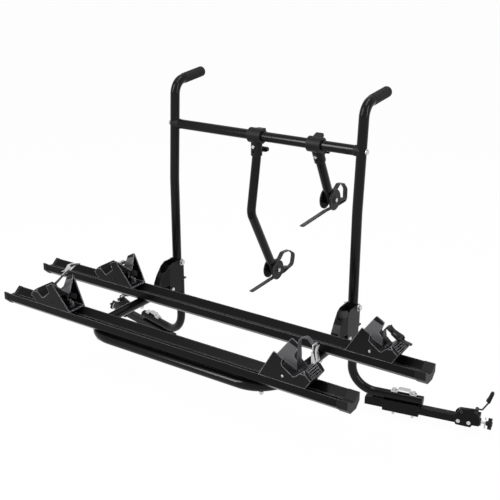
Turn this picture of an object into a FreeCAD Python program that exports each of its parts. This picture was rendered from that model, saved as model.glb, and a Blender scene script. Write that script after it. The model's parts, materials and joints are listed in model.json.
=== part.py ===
import FreeCAD, Part
import math
import os
import re
import Sketcher

# Two-bike drawbar carrier: a folding upright frame, a platform hoop with two wheel rails and four
# chocks, and two telescopic arms that end in drawbar clamps. Millimetres and degrees.
# Places are given from the pivot line, midway between the two hinge bolts: X to the right along the
# rails, Y backward, Z up. The model's own origin is the drawbar seat, midway between the two clamps.

SIZES = {
    # Upright frame
    "UprightX": 332.6, "TubeOd": 30.0, "TubeWall": 2.0, "UprightFoot": 18.0, "LeanStart": 290.0,
    "Lean": 3.1, "LeanBend": 400.0, "HandleHeight": 601.6, "HandleBend": 45.0, "HandleRise": 6.0,
    "HandleEnd": 152.0, "GripOd": 32.6, "GripLength": 92.0, "GripCap": 6.0, "GripRound": 5.0, "GripGap": 0.1,
    "GripMouth": 0.6,
    "CrossbarHeight": 470.2, "SaddleLip": 6.0, "SaddlePlug": 28.0,
    # Hinge brackets
    "PivotBolt": 10.0, "BracketWidth": 37.0, "BracketWall": 3.0, "BracketTop": 10.0, "BracketRear": 12.0,
    "BracketDrop": 100.0, "HoodStart": 46.0, "HoodLip": 66.0, "NoseReach": 111.0, "NoseDrop": 48.0,
    "NoseWidth": 24.0, "TaperStart": 62.0, "TaperEnd": 100.0, "NotchEnd": 85.0, "FoldFit": 0.5,
    # Legs, sleeves and telescopic bars
    "LegOd": 28.0, "LegBack": 14.1, "LegTop": 66.0, "LegDrop": 277.4, "LegBend": 77.0, "LegTurn": 10.8,
    "LeftLegTurn": 14.2,
    "LegReach": 222.0, "CapThick": 3.0, "CapPlug": 14.0, "BoltInset": 26.0, "BoltSpacing": 60.0,
    "SleeveAhead": 31.0, "SleeveBehind": 20.0, "SleeveSize": 36.0, "SleeveWall": 3.0, "BarSize": 25.0,
    "BarWall": 2.5, "BarInside": 88.0, "BarBeyond": 149.0, "SlideFit": 0.3, "BoltOd": 8.0, "BoltFit": 0.15,
    "BarIn": 20.0, "BarOut": 60.0, "StrapRise": 10.0, "StrapWidth": 16.0, "StrapThick": 3.0,
    # Drawbar clamps
    "PlateLap": 50.0, "PlateWall": 3.0, "CheekHigh": 51.0, "CheekLow": 23.0, "RoofWall": 3.0,
    "FirstBolt": 14.0, "SecondBolt": 45.0, "FirstPin": 21.0, "BarrelAhead": 11.0, "BarrelLong": 17.0,
    "BarrelOd": 23.0, "ScrewOd": 8.0, "ScrewFit": 0.2, "WasherAhead": 38.5, "WasherThick": 3.0,
    "WasherOd": 33.0, "KnobAhead": 43.0, "KnobStem": 5.5, "KnobThick": 18.0, "KnobOd": 36.0,
    "PinAhead": 13.0, "PinAbove": 38.0, "LeverRod": 5.0, "LeftLeverFold": 90.0,
    # Platform hoop and rails
    "HoopBelow": 80.3, "HoopFront": 452.3, "HoopBend": 100.0, "HoopRear": 38.0, "HoopBoltBack": 53.0,
    "RailHalf": 31.5, "RailTop": 26.9, "RailDepth": 38.3, "RailBase": 14.5, "RailLip": 3.0,
    "TroughDepth": 17.0, "TroughHalf": 9.0, "SlotHalf": 5.0, "ChamberHalf": 9.5, "RailWall": 2.4,
    "FrontRailY": 435.0, "FrontLeft": 656.0, "FrontRight": 559.0, "BackRailY": 189.0,
    "BackLeft": 739.0, "BackRight": 658.0, "RailCapLong": 26.0, "RailCapShort": 10.0,
    "RailCapProud": 1.2, "FrontBoltX": 291.0,
    # Wheel chocks
    "ChockFoot": 33.0, "ChockFlare": 45.0, "ChockTall": 88.0, "ChockRest": 0.4, "ToeX": 136.0,
    "ToeTop": 50.0, "ToeEndX": 158.0, "ToeEndZ": 27.0, "ChockWall": 3.0, "ChockFloor": 4.0,
    "ValleyHigh": 67.5, "ValleyLow": 18.4, "ValleyFoot": 4.0, "ValleyRise": 1.163, "ValleyTall": 75.0,
    "BandWidth": 22.0, "BandThick": 2.5, "BuckleFit": 0.3,
    "FrontRightChock": 302.0, "BackRightChock": 424.0, "FrontLeftChock": 372.5, "BackLeftChock": 340.0,
    # Frame-holder arms
    "ArmOd": 28.0, "ArmWall": 2.0, "LongArmX": -19.5, "ShortArmX": 185.5, "CollarWidth": 45.0,
    "CollarOd": 46.0, "CollarFit": 0.1, "SocketOd": 35.0, "SocketDrop": 61.0, "ArmTop": 21.0,
    "ArmFit": 0.15, "BendBelow": 7.0, "ShortArmTilt": 27.2, "ShortArmLength": 212.7, "HeadOd": 65.0,
    "HeadGap": 29.0,
    "DiscThick": 4.0, "HeadPin": 8.0, "HolderBand": 15.0, "HolderThick": 3.0,
    "HolderRest": 0.3,
}

V = FreeCAD.Vector
doc = FreeCAD.newDocument("bike_rack")
sheet = doc.addObject("Spreadsheet::Sheet", "Sizes")
# Places that follow from the sizes
TIED = {
    "BoltOuter": "LegReach - BoltInset",
    "BoltInner": "BoltOuter - BoltSpacing",
    "SleeveStart": "BoltInner - SleeveAhead",
    "SleeveEnd": "BoltOuter + SleeveBehind",
    "BarStart": "BoltInner - BarInside",
    "BarEnd": "LegReach + BarBeyond",
    "PlateStart": "BarEnd - PlateLap",
    "LeverPin": "BarEnd + PinAhead",
    "BarrelStart": "BarEnd + BarrelAhead",
    "BarrelEnd": "BarrelStart + BarrelLong",
    "WasherAt": "BarEnd + WasherAhead",
    "KnobAt": "BarEnd + KnobAhead",
    "HousingHalf": "BarSize / 2 + SlideFit + PlateWall",
}
cells = {alias: str(number) for alias, number in SIZES.items()}
cells.update((alias, f"={formula}") for alias, formula in TIED.items())
for row, (alias, content) in enumerate(cells.items(), start=1):
    sheet.set(f"A{row}", alias)
    sheet.set(f"B{row}", content)
    sheet.setAlias(f"B{row}", alias)
doc.recompute()

# Formulas that several pieces share
LEAN_LINE = "tan(Lean)"
CROSSBAR_BACK = f"(CrossbarHeight - LeanStart) * {LEAN_LINE}"
HANDLE_FOOT = f"(HandleHeight - LeanStart) * {LEAN_LINE}"
BAR_LEVEL = "(LegDrop + LegOd / 2 + SleeveSize / 2)"
SEAT_BACK = "(LegBack + WasherAt * (sin(LegTurn) + sin(LeftLegTurn)) / 2)"
PLANES = {
    "XY": FreeCAD.Rotation(),
    "XZ": FreeCAD.Rotation(V(1, 0, 0), 90),
    "YZ": FreeCAD.Rotation(V(1, 1, 1), 120),
}
nodes = {}


def cell(formula):
    """Turn the size names of a formula into references to the sheet."""
    return re.sub(r"[A-Z]\w+", lambda found: "Sizes." + found.group(), str(formula))


def value(formula):
    """Work out a formula of size names."""
    return float(sheet.evalExpression(cell(formula)))


def bind(thing, **formulas):
    """Bind properties of an object to formulas of size names."""
    for name, formula in formulas.items():
        thing.setExpression(name, cell(formula))
    return thing


def locate(piece, x="0", y="0", z="0", rotation=None):
    """Place a piece in the frame that it is built in."""
    piece.Placement = FreeCAD.Placement(V(), rotation or FreeCAD.Rotation())
    for axis, formula in zip("xyz", (x, y, z)):
        if formula != "0":
            piece.setExpression(f"Placement.Base.{axis}", cell(formula))
    return piece


def stand(piece, x="0", y="0", z="0", rotation=None):
    """Place a piece by a point given from the pivot line."""
    return locate(piece, x, f"({y}) - {SEAT_BACK}", f"({z}) + {BAR_LEVEL}", rotation)


def stand_on_leg(piece, side):
    """Place a piece that is built along a leg's foot: X outward, Y backward, Z up from the pivot line."""
    turn = value("LegTurn") if side > 0 else -value("LeftLegTurn")
    return stand(piece, f"{side} * UprightX", "LegBack", "0", FreeCAD.Rotation(V(0, 0, 1), turn))


def keep(label, piece):
    """Name a finished sub-part."""
    piece.Label = label
    nodes[label] = piece
    return piece


def rounded_corner(before, corner, after, radius):
    """Return where the arc that rounds a corner starts and ends, its centre and whether it turns left."""
    to_before = (before - corner).normalize()
    to_after = (after - corner).normalize()
    half = to_before.getAngle(to_after) / 2
    run = radius / math.tan(half)
    centre = corner + (to_before + to_after).normalize() * (radius / math.sin(half))
    left = (corner - before).cross(after - corner).z > 0
    return corner + to_before * run, corner + to_after * run, centre, left


def corner_arc(sketch, start, end, centre, left, radius):
    """Add a corner's arc, which a sketch always holds counterclockwise, and name its two ends in order."""
    first, last = (start, end) if left else (end, start)
    angles = [math.atan2(spot.y - centre.y, spot.x - centre.x) for spot in (first, last)]
    arc = Part.ArcOfCircle(Part.Circle(centre, V(0, 0, 1), radius), *angles)
    return sketch.addGeometry(arc, False), (1, 2) if left else (2, 1)


def constrain(sketch, constraints, bound):
    """Add constraints, and bind those whose formula names a size."""
    offset = sketch.ConstraintCount
    sketch.addConstraint(constraints)
    for place, formula in bound:
        if re.search("[A-Z]", formula):
            sketch.setExpression(f"Constraints[{offset + place}]", cell(formula))


def draw(sketch, points, closed=True):
    """Draw straight runs through points (x, y) or (x, y, corner radius), all bound to the sheet."""
    spots = [V(value(point[0]), value(point[1]), 0) for point in points]
    count = len(spots)
    last = count if closed else count - 1
    joins = []
    for index, point in enumerate(points):
        spot = spots[index]
        inside = closed or 0 < index < count - 1
        if len(point) > 2 and inside:
            radius = value(point[2])
            joins.append(rounded_corner(spots[index - 1], spot, spots[(index + 1) % count], radius))
        else:
            joins.append((spot, spot, None, None))
    runs = [sketch.addGeometry(Part.LineSegment(joins[i][1], joins[(i + 1) % count][0]), False)
            for i in range(last)]
    constraints, bound = [], []
    for index, point in enumerate(points):
        before = runs[index - 1] if closed or index > 0 else None
        after = runs[index] if index < last else None
        start, end, centre, left = joins[index]
        if centre is not None:
            arc, (first, second) = corner_arc(sketch, start, end, centre, left, value(point[2]))
            mark = sketch.addGeometry(Part.Point(spots[index]), True)
            constraints += [
                Sketcher.Constraint("Tangent", before, 2, arc, first),
                Sketcher.Constraint("Tangent", after, 1, arc, second),
                Sketcher.Constraint("PointOnObject", mark, 1, before),
                Sketcher.Constraint("PointOnObject", mark, 1, after),
            ]
            bound.append((len(constraints), point[2]))
            constraints.append(Sketcher.Constraint("Radius", arc, value(point[2])))
            anchor = (mark, 1)
        else:
            if before is not None and after is not None:
                constraints.append(Sketcher.Constraint("Coincident", before, 2, after, 1))
            anchor = (after, 1) if after is not None else (before, 2)
        for kind, formula, size in (("DistanceX", point[0], spots[index].x),
                                    ("DistanceY", point[1], spots[index].y)):
            bound.append((len(constraints), formula))
            constraints.append(Sketcher.Constraint(kind, -1, 1, *anchor, size))
    constrain(sketch, constraints, bound)
    return sketch


def circle(sketch, x, y, radius):
    """Draw a circle bound to the sheet."""
    centre = V(value(x), value(y), 0)
    ring = sketch.addGeometry(Part.Circle(centre, V(0, 0, 1), value(radius)), False)
    constrain(sketch, [
        Sketcher.Constraint("DistanceX", -1, 1, ring, 3, centre.x),
        Sketcher.Constraint("DistanceY", -1, 1, ring, 3, centre.y),
        Sketcher.Constraint("Radius", ring, value(radius)),
    ], enumerate((x, y, radius)))
    return sketch


def box_points(x0, x1, y0, y1, radius=None):
    """Corners of a rectangle, rounded where a radius is given."""
    corners = [(x0, y0), (x1, y0), (x1, y1), (x0, y1)]
    return [corner + (radius,) for corner in corners] if radius else corners


def new_body(name):
    return doc.addObject("PartDesign::Body", name)


def sketch_on(body, plane, offset="0", origin=None, turn=0.0):
    """Start a sketch on one of the body's own planes, moved along its normal and turned in it."""
    sketch = body.newObject("Sketcher::SketchObject", "Sketch")
    own = next(f for f in body.Origin.OriginFeatures if f.Role == f"{plane}_Plane")
    sketch.AttachmentSupport = (own, [""])
    sketch.MapMode = "FlatFace"
    sketch.AttachmentOffset = FreeCAD.Placement(V(), FreeCAD.Rotation(V(0, 0, 1), turn))
    for axis, formula in zip("xyz", (*(origin or ("0", "0")), offset)):
        if formula != "0":
            sketch.setExpression(f"AttachmentOffset.Base.{axis}", cell(formula))
    return sketch


def pad(body, sketch, length, both=True, reverse=False):
    feature = body.newObject("PartDesign::Pad", "Pad")
    feature.Profile = sketch
    feature.SideType = "Symmetric" if both else "One side"
    feature.Reversed = reverse
    return bind(feature, Length=length)


def pocket(body, sketch, length=None, both=True, reverse=False):
    """Cut a sketch out of a body, right through where no length is given."""
    feature = body.newObject("PartDesign::Pocket", "Pocket")
    feature.Profile = sketch
    feature.SideType = "Symmetric" if both else "One side"
    feature.Reversed = reverse
    if length is None:
        feature.Type = "ThroughAll"
        return feature
    return bind(feature, Length=length)


def revolve(body, sketch, axis):
    feature = body.newObject("PartDesign::Revolution", "Revolution")
    feature.Profile = sketch
    feature.ReferenceAxis = (sketch, [axis])
    feature.Angle = 360
    return feature


def pipe(body, profile, spine):
    feature = body.newObject("PartDesign::AdditivePipe", "Pipe")
    feature.Profile = profile
    feature.Spine = (spine, [""])
    return feature


def rod(radius, length, x="0", y="0", z="0", rotation=None):
    """A plain cylinder that starts at a point and runs along the rotated Z axis."""
    cylinder = bind(doc.addObject("Part::Cylinder", "Rod"), Radius=radius, Height=length)
    return locate(cylinder, x, y, z, rotation)


def hexagon(radius, height, x="0", y="0", z="0", rotation=None):
    prism = bind(doc.addObject("Part::Prism", "Hexagon"), Circumradius=radius, Height=height)
    prism.Polygon = 6
    return locate(prism, x, y, z, rotation)


def fuse(shapes):
    joined = doc.addObject("Part::MultiFuse", "Fuse")
    joined.Shapes = shapes
    return joined


def cut(base, tool):
    feature = doc.addObject("Part::Cut", "Cut")
    feature.Base = base
    feature.Tool = tool
    return feature


def common(shapes):
    feature = doc.addObject("Part::MultiCommon", "Common")
    feature.Shapes = shapes
    return feature


def group(pieces):
    """Hold like pieces together as one node of separate solids."""
    compound = doc.addObject("Part::Compound", "Group")
    compound.Links = pieces
    return compound


def prism(plane, outlines, length, offset="0"):
    """Extrude closed outlines both ways from a plane through the piece's own origin."""
    sketch = doc.addObject("Sketcher::SketchObject", "Outline")
    sketch.Placement = FreeCAD.Placement(V(), PLANES[plane])
    normal = PLANES[plane].multVec(V(0, 0, 1))
    for axis, share in zip("xyz", normal):
        if abs(share) > 0.5 and offset != "0":
            sketch.setExpression(f"Placement.Base.{axis}", cell(f"{round(share)} * ({offset})"))
    for outline in outlines:
        draw(sketch, outline)
    solid = doc.addObject("Part::Extrusion", "Prism")
    solid.Base = sketch
    solid.DirMode = "Normal"
    solid.Solid = True
    solid.Symmetric = True
    return bind(solid, LengthFwd=length)


def bolt(radius, grip, head, head_high, tail="4"):
    """A hexagon bolt along -Z: its head stands on Z = 0 and its nut sits at the end of the grip."""
    nut_high = head_high
    shank = rod(radius, f"({grip}) + ({nut_high}) + ({tail})", z=f"-(({grip}) + ({nut_high}) + ({tail}))")
    return fuse([
        hexagon(head, head_high),
        shank,
        hexagon(head, nut_high, z=f"-(({grip}) + ({nut_high}))"),
    ])


def aim(direction):
    return FreeCAD.Rotation(V(0, 0, 1), V(*direction))


# Upright frame


def make_upright(label, side):
    """One bent tube: straight up, a slight lean, and the handle at the top."""
    body = new_body("Upright")
    spine = draw(sketch_on(body, "YZ"), [
        ("0", "-UprightFoot"),
        ("0", "LeanStart", "LeanBend"),
        (HANDLE_FOOT, "HandleHeight", "HandleBend"),
        ("HandleEnd", f"HandleHeight + (HandleEnd - {HANDLE_FOOT}) * tan(HandleRise)"),
    ], closed=False)
    ring = sketch_on(body, "XY", "-UprightFoot")
    circle(ring, "0", "0", "TubeOd / 2")
    circle(ring, "0", "0", "TubeOd / 2 - TubeWall")
    pipe(body, ring, spine)
    holes = sketch_on(body, "YZ")
    circle(holes, "0", "0", "PivotBolt / 2 + BoltFit")
    circle(holes, CROSSBAR_BACK, "CrossbarHeight", "BoltOd / 2 + BoltFit")
    pocket(body, holes)
    stand(body, f"{side} * UprightX")
    return keep(label, body)


def make_grips():
    """Two push-on sleeves with rounded closed ends, built along Z and laid on the handles."""
    grips = []
    for side in (-1, 1):
        body = new_body("Grip")
        inner = "TubeOd / 2 + GripGap"
        outer = "GripOd / 2"
        profile = draw(sketch_on(body, "XZ"), [
            (inner, "0"), (outer, "0", "GripMouth"), (outer, "GripLength + GripCap", "GripRound"),
            ("0", "GripLength + GripCap"), ("0", "GripLength"), (inner, "GripLength"),
        ])
        revolve(body, profile, "V_Axis")
        lie = FreeCAD.Rotation(V(1, 0, 0), value("HandleRise") - 90)
        stand(body, f"{side} * UprightX", "HandleEnd - GripLength * cos(HandleRise) + GripGap",
              f"HandleHeight + (HandleEnd - {HANDLE_FOOT}) * tan(HandleRise) - GripLength * sin(HandleRise)",
              lie)
        grips.append(body)
    return keep("grips", group(grips))


def make_crossbar():
    body = new_body("Crossbar")
    ring = sketch_on(body, "YZ")
    circle(ring, "0", "0", "TubeOd / 2")
    circle(ring, "0", "0", "TubeOd / 2 - TubeWall")
    pad(body, ring, "2 * (UprightX - TubeOd / 2 - SaddleLip)")
    stand(body, "0", CROSSBAR_BACK, "CrossbarHeight")
    return keep("crossbar", body)


def make_saddles():
    """End saddles: a plug in the crossbar and a lip that is hollowed to sit on the upright."""
    saddles = []
    lean = FreeCAD.Rotation(V(1, 0, 0), -value("Lean"))
    down = lean.multVec(V(0, 0, -1))
    for side in (-1, 1):
        out = aim((side, 0, 0))
        start = "UprightX - TubeOd / 2 - SaddleLip"
        lip = rod("TubeOd / 2 + 1", "TubeOd / 2 + SaddleLip", f"{side} * ({start})", rotation=out)
        plug = rod("TubeOd / 2 - TubeWall - BoltFit", "SaddlePlug + 1", f"{side} * ({start} - SaddlePlug)",
                   rotation=out)
        upright = rod("TubeOd / 2 + BoltFit", "4 * TubeOd", f"{side} * UprightX",
                      f"{down.y} * 2 * TubeOd", f"{down.z} * 2 * TubeOd", lean)
        hole = rod("BoltOd / 2 + BoltFit", "UprightX", rotation=out)
        blank = cut(fuse([lip, plug]), fuse([upright, hole]))
        saddles.append(blank)
    return keep("crossbar_saddles", stand(group(saddles), "0", CROSSBAR_BACK, "CrossbarHeight"))


def make_crossbar_bolts():
    bolts = []
    for side in (-1, 1):
        shank = rod("BoltOd / 2", "TubeOd + SaddleLip + SaddlePlug - 6", rotation=aim((-side, 0, 0)))
        head = hexagon("7", "5.5", rotation=aim((side, 0, 0)))
        washer = rod("8.5", "1.6", rotation=aim((side, 0, 0)))
        bolts.append(locate(fuse([shank, head, washer]), f"{side} * (UprightX + TubeOd / 2)"))
    return keep("crossbar_bolts", stand(group(bolts), "0", CROSSBAR_BACK, "CrossbarHeight"))


# Hinge brackets and legs


def bracket_side(back, down):
    """Side outline of a bracket's front, moved back and down for the inside of the sheet."""
    def at(y, z):
        return f"{y} + ({back})", f"{z} - ({down})"
    return [
        (*at("-HoodStart", "BracketTop"), "8"), (*at("-HoodLip", "0"), "30"),
        (*at("-NoseReach + 14", "-25"), "16"), (*at("-NoseReach", "-NoseDrop"), "10"),
    ]


def make_bracket(label, side):
    """Folded sheet: two side plates that close in to a narrow nose, notched for the folded upright."""
    floor = "-LegTop"
    outer = prism("YZ", [[
        ("BracketRear", floor), ("BracketRear", "BracketTop", "8"), *bracket_side("0", "0"),
        ("-NoseReach + 2", "-NoseDrop - 15"), ("-TaperStart", "-NoseDrop - 15", "3"),
        ("-TaperStart", "-BracketDrop", "6"), ("LegBack - LegOd / 2 - 1", "-BracketDrop", "6"),
        ("LegBack - LegOd / 2 - 1", floor),
    ]], "BracketWidth")
    inner = prism("YZ", [[
        ("BracketRear + 30", "-BracketDrop - 20"), ("BracketRear + 30", "BracketTop + 20"),
        ("-HoodStart + BracketWall", "BracketTop + 20"),
        *bracket_side("BracketWall", "BracketWall * 2 / 3"),
        ("-NoseReach + BracketWall", "-BracketDrop - 20"),
    ]], "BracketWidth")

    def plan(half, nose):
        return [
            (half, "BracketRear + 40"), (f"-({half})", "BracketRear + 40"),
            (f"-({half})", "-TaperStart", "12"), (f"-({nose})", "-TaperEnd", "12"),
            (f"-({nose})", "-NoseReach - 10"), (nose, "-NoseReach - 10"),
            (nose, "-TaperEnd", "12"), (half, "-TaperStart", "12"),
        ]

    reach = "4 * BracketDrop"
    hollow_plan = plan("BracketWidth / 2 - BracketWall", "NoseWidth / 2 - BracketWall")
    shell = cut(
        common([outer, prism("XY", [plan("BracketWidth / 2", "NoseWidth / 2")], reach)]),
        common([inner, prism("XY", [hollow_plan], reach)]),
    )
    rest = prism("XY", [box_points("-BracketWidth / 2 + 1", "BracketWidth / 2 - 1",
                                   "LegBack - LegOd / 2 - 1", "LegBack + LegOd / 2", "3")],
                 "BracketWall", "-LegTop + BracketWall / 2")
    half = "(TubeOd / 2 + FoldFit)"
    notch = prism("XY", [[
        (f"-{half}", "-HoodStart + 8"), (f"-{half}", "-NotchEnd", f"{half} - 0.1"),
        (half, "-NotchEnd", f"{half} - 0.1"), (half, "-HoodStart + 8"),
    ]], "3 * TubeOd")
    sideways = aim((1, 0, 0))
    across = "2 * BracketWidth"
    holes = fuse([
        rod("PivotBolt / 2 + BoltFit", across, "-BracketWidth", rotation=sideways),
        rod("BoltOd / 2 + BoltFit", across, "-BracketWidth", "-HoopBoltBack", "-HoopBelow", sideways),
    ])
    bracket = cut(fuse([shell, rest]), fuse([notch, holes]))
    return keep(label, stand(bracket, f"{side} * UprightX"))


def make_pivot_bolts():
    bolts = []
    for side in (-1, 1):
        body = bolt("PivotBolt / 2", "BracketWidth + 4", "9", "6.5")
        washers = [rod("10.5", "2", z="-2"), rod("10.5", "2", z="-BracketWidth - 4")]
        whole = fuse([body, *washers])
        bolts.append(locate(whole, f"{side} * UprightX + BracketWidth / 2 + 2", rotation=aim((1, 0, 0))))
    return keep("pivot_bolts", stand(group(bolts)))


def make_leg(label, side):
    body = new_body("Leg")
    spine = draw(sketch_on(body, "XZ"), [
        ("0", "-LegTop"), ("0", "-LegDrop", "LegBend"), (f"{side} * LegReach", "-LegDrop"),
    ], closed=False)
    ring = sketch_on(body, "XY", "-LegTop")
    circle(ring, "0", "0", "LegOd / 2")
    circle(ring, "0", "0", "LegOd / 2 - TubeWall")
    pipe(body, ring, spine)
    holes = sketch_on(body, "XY", "-LegDrop")
    for along in ("BoltInner", "BoltOuter"):
        circle(holes, f"{side} * {along}", "0", "BoltOd / 2 + BoltFit")
    pocket(body, holes, "LegOd + 4")
    return keep(label, stand_on_leg(body, side))


def make_leg_caps():
    caps = []
    for side in (-1, 1):
        out = aim((side, 0, 0))
        cap = fuse([
            rod("LegOd / 2", "CapThick", f"{side} * LegReach", z="-LegDrop", rotation=out),
            rod("LegOd / 2 - TubeWall - BoltFit", "CapPlug + 1", f"{side} * (LegReach - CapPlug)",
                z="-LegDrop",
                rotation=out),
        ])
        caps.append(stand_on_leg(group([cap]), side))
    return keep("leg_caps", group(caps))


def square_tube(side, start, end, size, wall, level=f"-{BAR_LEVEL}"):
    """A square tube along the leg's foot, with rounded corners."""
    body = new_body("SquareTube")
    face = sketch_on(body, "YZ", f"{side} * (({start}) + ({end})) / 2")
    half = f"({size}) / 2"
    draw(face, box_points(f"-{half}", half, f"{level} - {half}", f"{level} + {half}", "3"))
    bore = f"({size}) / 2 - ({wall})"
    draw(face, box_points(f"-({bore})", f"{bore}", f"{level} - ({bore})", f"{level} + ({bore})", "1"))
    pad(body, face, f"({end}) - ({start})")
    return body


def sleeve_holes(body, side, extra="0", stretch_in="0", stretch_out="0"):
    """Two round holes down through a tube for the sleeve bolts, or one long slot where it slides."""
    face = sketch_on(body, "XY", f"-{BAR_LEVEL}")
    radius = f"BoltOd / 2 + BoltFit + ({extra})"
    if stretch_in == "0":
        for along in ("BoltInner", "BoltOuter"):
            circle(face, f"{side} * {along}", "0", radius)
    else:
        ends = [f"{side} * (BoltInner - {stretch_in} - BoltOd)",
                f"{side} * (BoltOuter + {stretch_out} + BoltOd)"]
        if side < 0:
            ends.reverse()
        draw(face, box_points(*ends, f"-({radius})", radius, f"{radius} - 0.1"))
    pocket(body, face, "2 * SleeveSize")


def make_sleeve(label, side):
    body = square_tube(side, "SleeveStart", "SleeveEnd", "SleeveSize", "SleeveWall")
    sleeve_holes(body, side)
    return keep(label, stand_on_leg(body, side))


def make_liners():
    """Plastic guide liners between sleeve and bar."""
    liners = []
    for side in (-1, 1):
        size = "SleeveSize - 2 * SleeveWall - 2 * BoltFit"
        wall = f"(({size}) - BarSize) / 2 - SlideFit"
        body = square_tube(side, "SleeveStart", "SleeveEnd", size, wall)
        sleeve_holes(body, side)
        liners.append(stand_on_leg(body, side))
    return keep("sleeve_liners", group(liners))


def make_bar(label, side):
    body = square_tube(side, "BarStart", "BarEnd", "BarSize", "BarWall")
    sleeve_holes(body, side, "0.2", "BarOut", "BarIn")
    holes = sketch_on(body, "XZ")
    for along in ("FirstBolt", "SecondBolt"):
        circle(holes, f"{side} * (PlateStart + {along})", f"-{BAR_LEVEL}", "BoltOd / 2 + BoltFit")
    pocket(body, holes)
    return keep(label, stand_on_leg(body, side))


def make_saddle_straps():
    """Hat-shaped strips that bridge the two sleeve bolts on top of each leg."""
    straps = []
    for side in (-1, 1):
        foot = "-LegDrop + LegOd / 2 + 0.2"
        top = f"{foot} + StrapRise"
        inner, outer = "BoltInner", "BoltOuter"
        profile = [
            (f"{side} * ({inner} - 9)", foot), (f"{side} * ({inner} + 10)", foot, "2"),
            (f"{side} * ({inner} + 15)", top, "2"), (f"{side} * ({outer} - 15)", top, "2"),
            (f"{side} * ({outer} - 10)", foot, "2"), (f"{side} * ({outer} + 9)", foot),
            (f"{side} * ({outer} + 9)", f"{foot} + StrapThick"),
            (f"{side} * ({outer} - 8)", f"{foot} + StrapThick", "4"),
            (f"{side} * ({outer} - 13)", f"{top} + StrapThick", "4"),
            (f"{side} * ({inner} + 13)", f"{top} + StrapThick", "4"),
            (f"{side} * ({inner} + 8)", f"{foot} + StrapThick", "4"),
            (f"{side} * ({inner} - 9)", f"{foot} + StrapThick"),
        ]
        body = new_body("Strap")
        pad(body, draw(sketch_on(body, "XZ"), profile), "StrapWidth")
        holes = sketch_on(body, "XY", "-LegDrop")
        for along in (inner, outer):
            circle(holes, f"{side} * {along}", "0", "BoltOd / 2 + BoltFit")
        pocket(body, holes, "4 * LegOd")
        straps.append(stand_on_leg(body, side))
    return keep("saddle_straps", group(straps))


def make_saddle_bolts():
    sets = []
    for side in (-1, 1):
        pair = []
        for along in ("BoltInner", "BoltOuter"):
            one = bolt("BoltOd / 2", "LegOd + SleeveSize + StrapThick + 0.4", "7", "6", "9")
            pair.append(locate(one, f"{side} * {along}", "0", "-LegDrop + LegOd / 2 + StrapThick + 0.3"))
        sets.append(stand_on_leg(group(pair), side))
    return keep("saddle_bolts", group(sets))


# Drawbar clamps


def clamp_spot(side, along, up, radius=None):
    """A point of a clamp's side outline, from the housing's inner end and the bar's axis."""
    point = (f"{side} * (PlateStart + {along})", f"-{BAR_LEVEL} + {up}")
    return point + (radius,) if radius else point


def above_roof(side, sink):
    """Everything over the roof, which falls from the high cheek to the low one.

    Both clamps are the same part, turned half round: the high cheek is in front on the right side and
    behind on the left side.
    """
    level = f"-{BAR_LEVEL} - {sink}"
    front, rear = ("CheekHigh", "CheekLow") if side > 0 else ("CheekLow", "CheekHigh")
    half = "(HousingHalf + 1)"
    return prism("YZ", [[
        (f"-{half}", f"{level} + {front}"), (half, f"{level} + {rear}"),
        (half, f"{level} + 3 * CheekHigh"), (f"-{half}", f"{level} + 3 * CheekHigh"),
    ]], "3 * PlateLap", f"{side} * BarEnd")


def make_clamp_housing(label, side):
    """Folded clamp housing: a high cheek, a low one and the screw's barrel at the outer end."""
    outline = [(0, 14, "4"), (16, 38, "5"), (59, 47, "6"), (70, 44, "3"), (68, 28, "2"), (75, 25, "2"),
               (75, -7, "2"), (55, -8, "2"), (50, -16, "3"), (6, -15, "4")]
    inside = [(-10, 18), (14, 34, "3"), (90, 50), (90, -40), (-10, -40)]
    well = [(57, 26), (90, 26), (90, 80), (57, 80)]
    block = [(63, -6), (75, -6), (75, 24), (63, 24)]
    outer = cut(prism("XZ", [[clamp_spot(side, *spot) for spot in outline]], "2 * HousingHalf"),
                above_roof(side, "0"))
    inner = cut(prism("XZ", [[clamp_spot(side, *spot) for spot in inside]], "2 * (HousingHalf - PlateWall)"),
                above_roof(side, "RoofWall * 1.25"))
    out = aim((side, 0, 0))
    level = f"-{BAR_LEVEL}"
    barrel = rod("BarrelOd / 2", "BarrelLong", f"{side} * BarrelStart", "0", level, out)
    web = prism("XZ", [[clamp_spot(side, *spot) for spot in block]], "2 * (HousingHalf - PlateWall) + 1")
    lever_well = prism("XZ", [[clamp_spot(side, *spot) for spot in well]], "2 * (HousingHalf - PlateWall)")
    bore = rod("ScrewOd / 2 + ScrewFit", "60", f"{side} * (BarrelStart - 20)", "0", level, out)
    across = aim((0, 1, 0))
    holes = [rod("BoltOd / 2 + BoltFit", "60", f"{side} * (PlateStart + {along})", "-30", level, across)
             for along in ("FirstBolt", "SecondBolt")]
    pins = [rod("3 + BoltFit", "PlateWall + 2", f"{side} * ({along})", f"-{side} * (HousingHalf + 1)",
                f"{level} + {up}", aim((0, side, 0)))
            for along, up in (("PlateStart + FirstPin", "PinAbove - 7"), ("LeverPin", "PinAbove"))]
    shell = fuse([cut(outer, fuse([inner, lever_well])), barrel, web])
    return keep(label, stand_on_leg(group([cut(shell, fuse([bore, *holes, *pins]))]), side))


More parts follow.
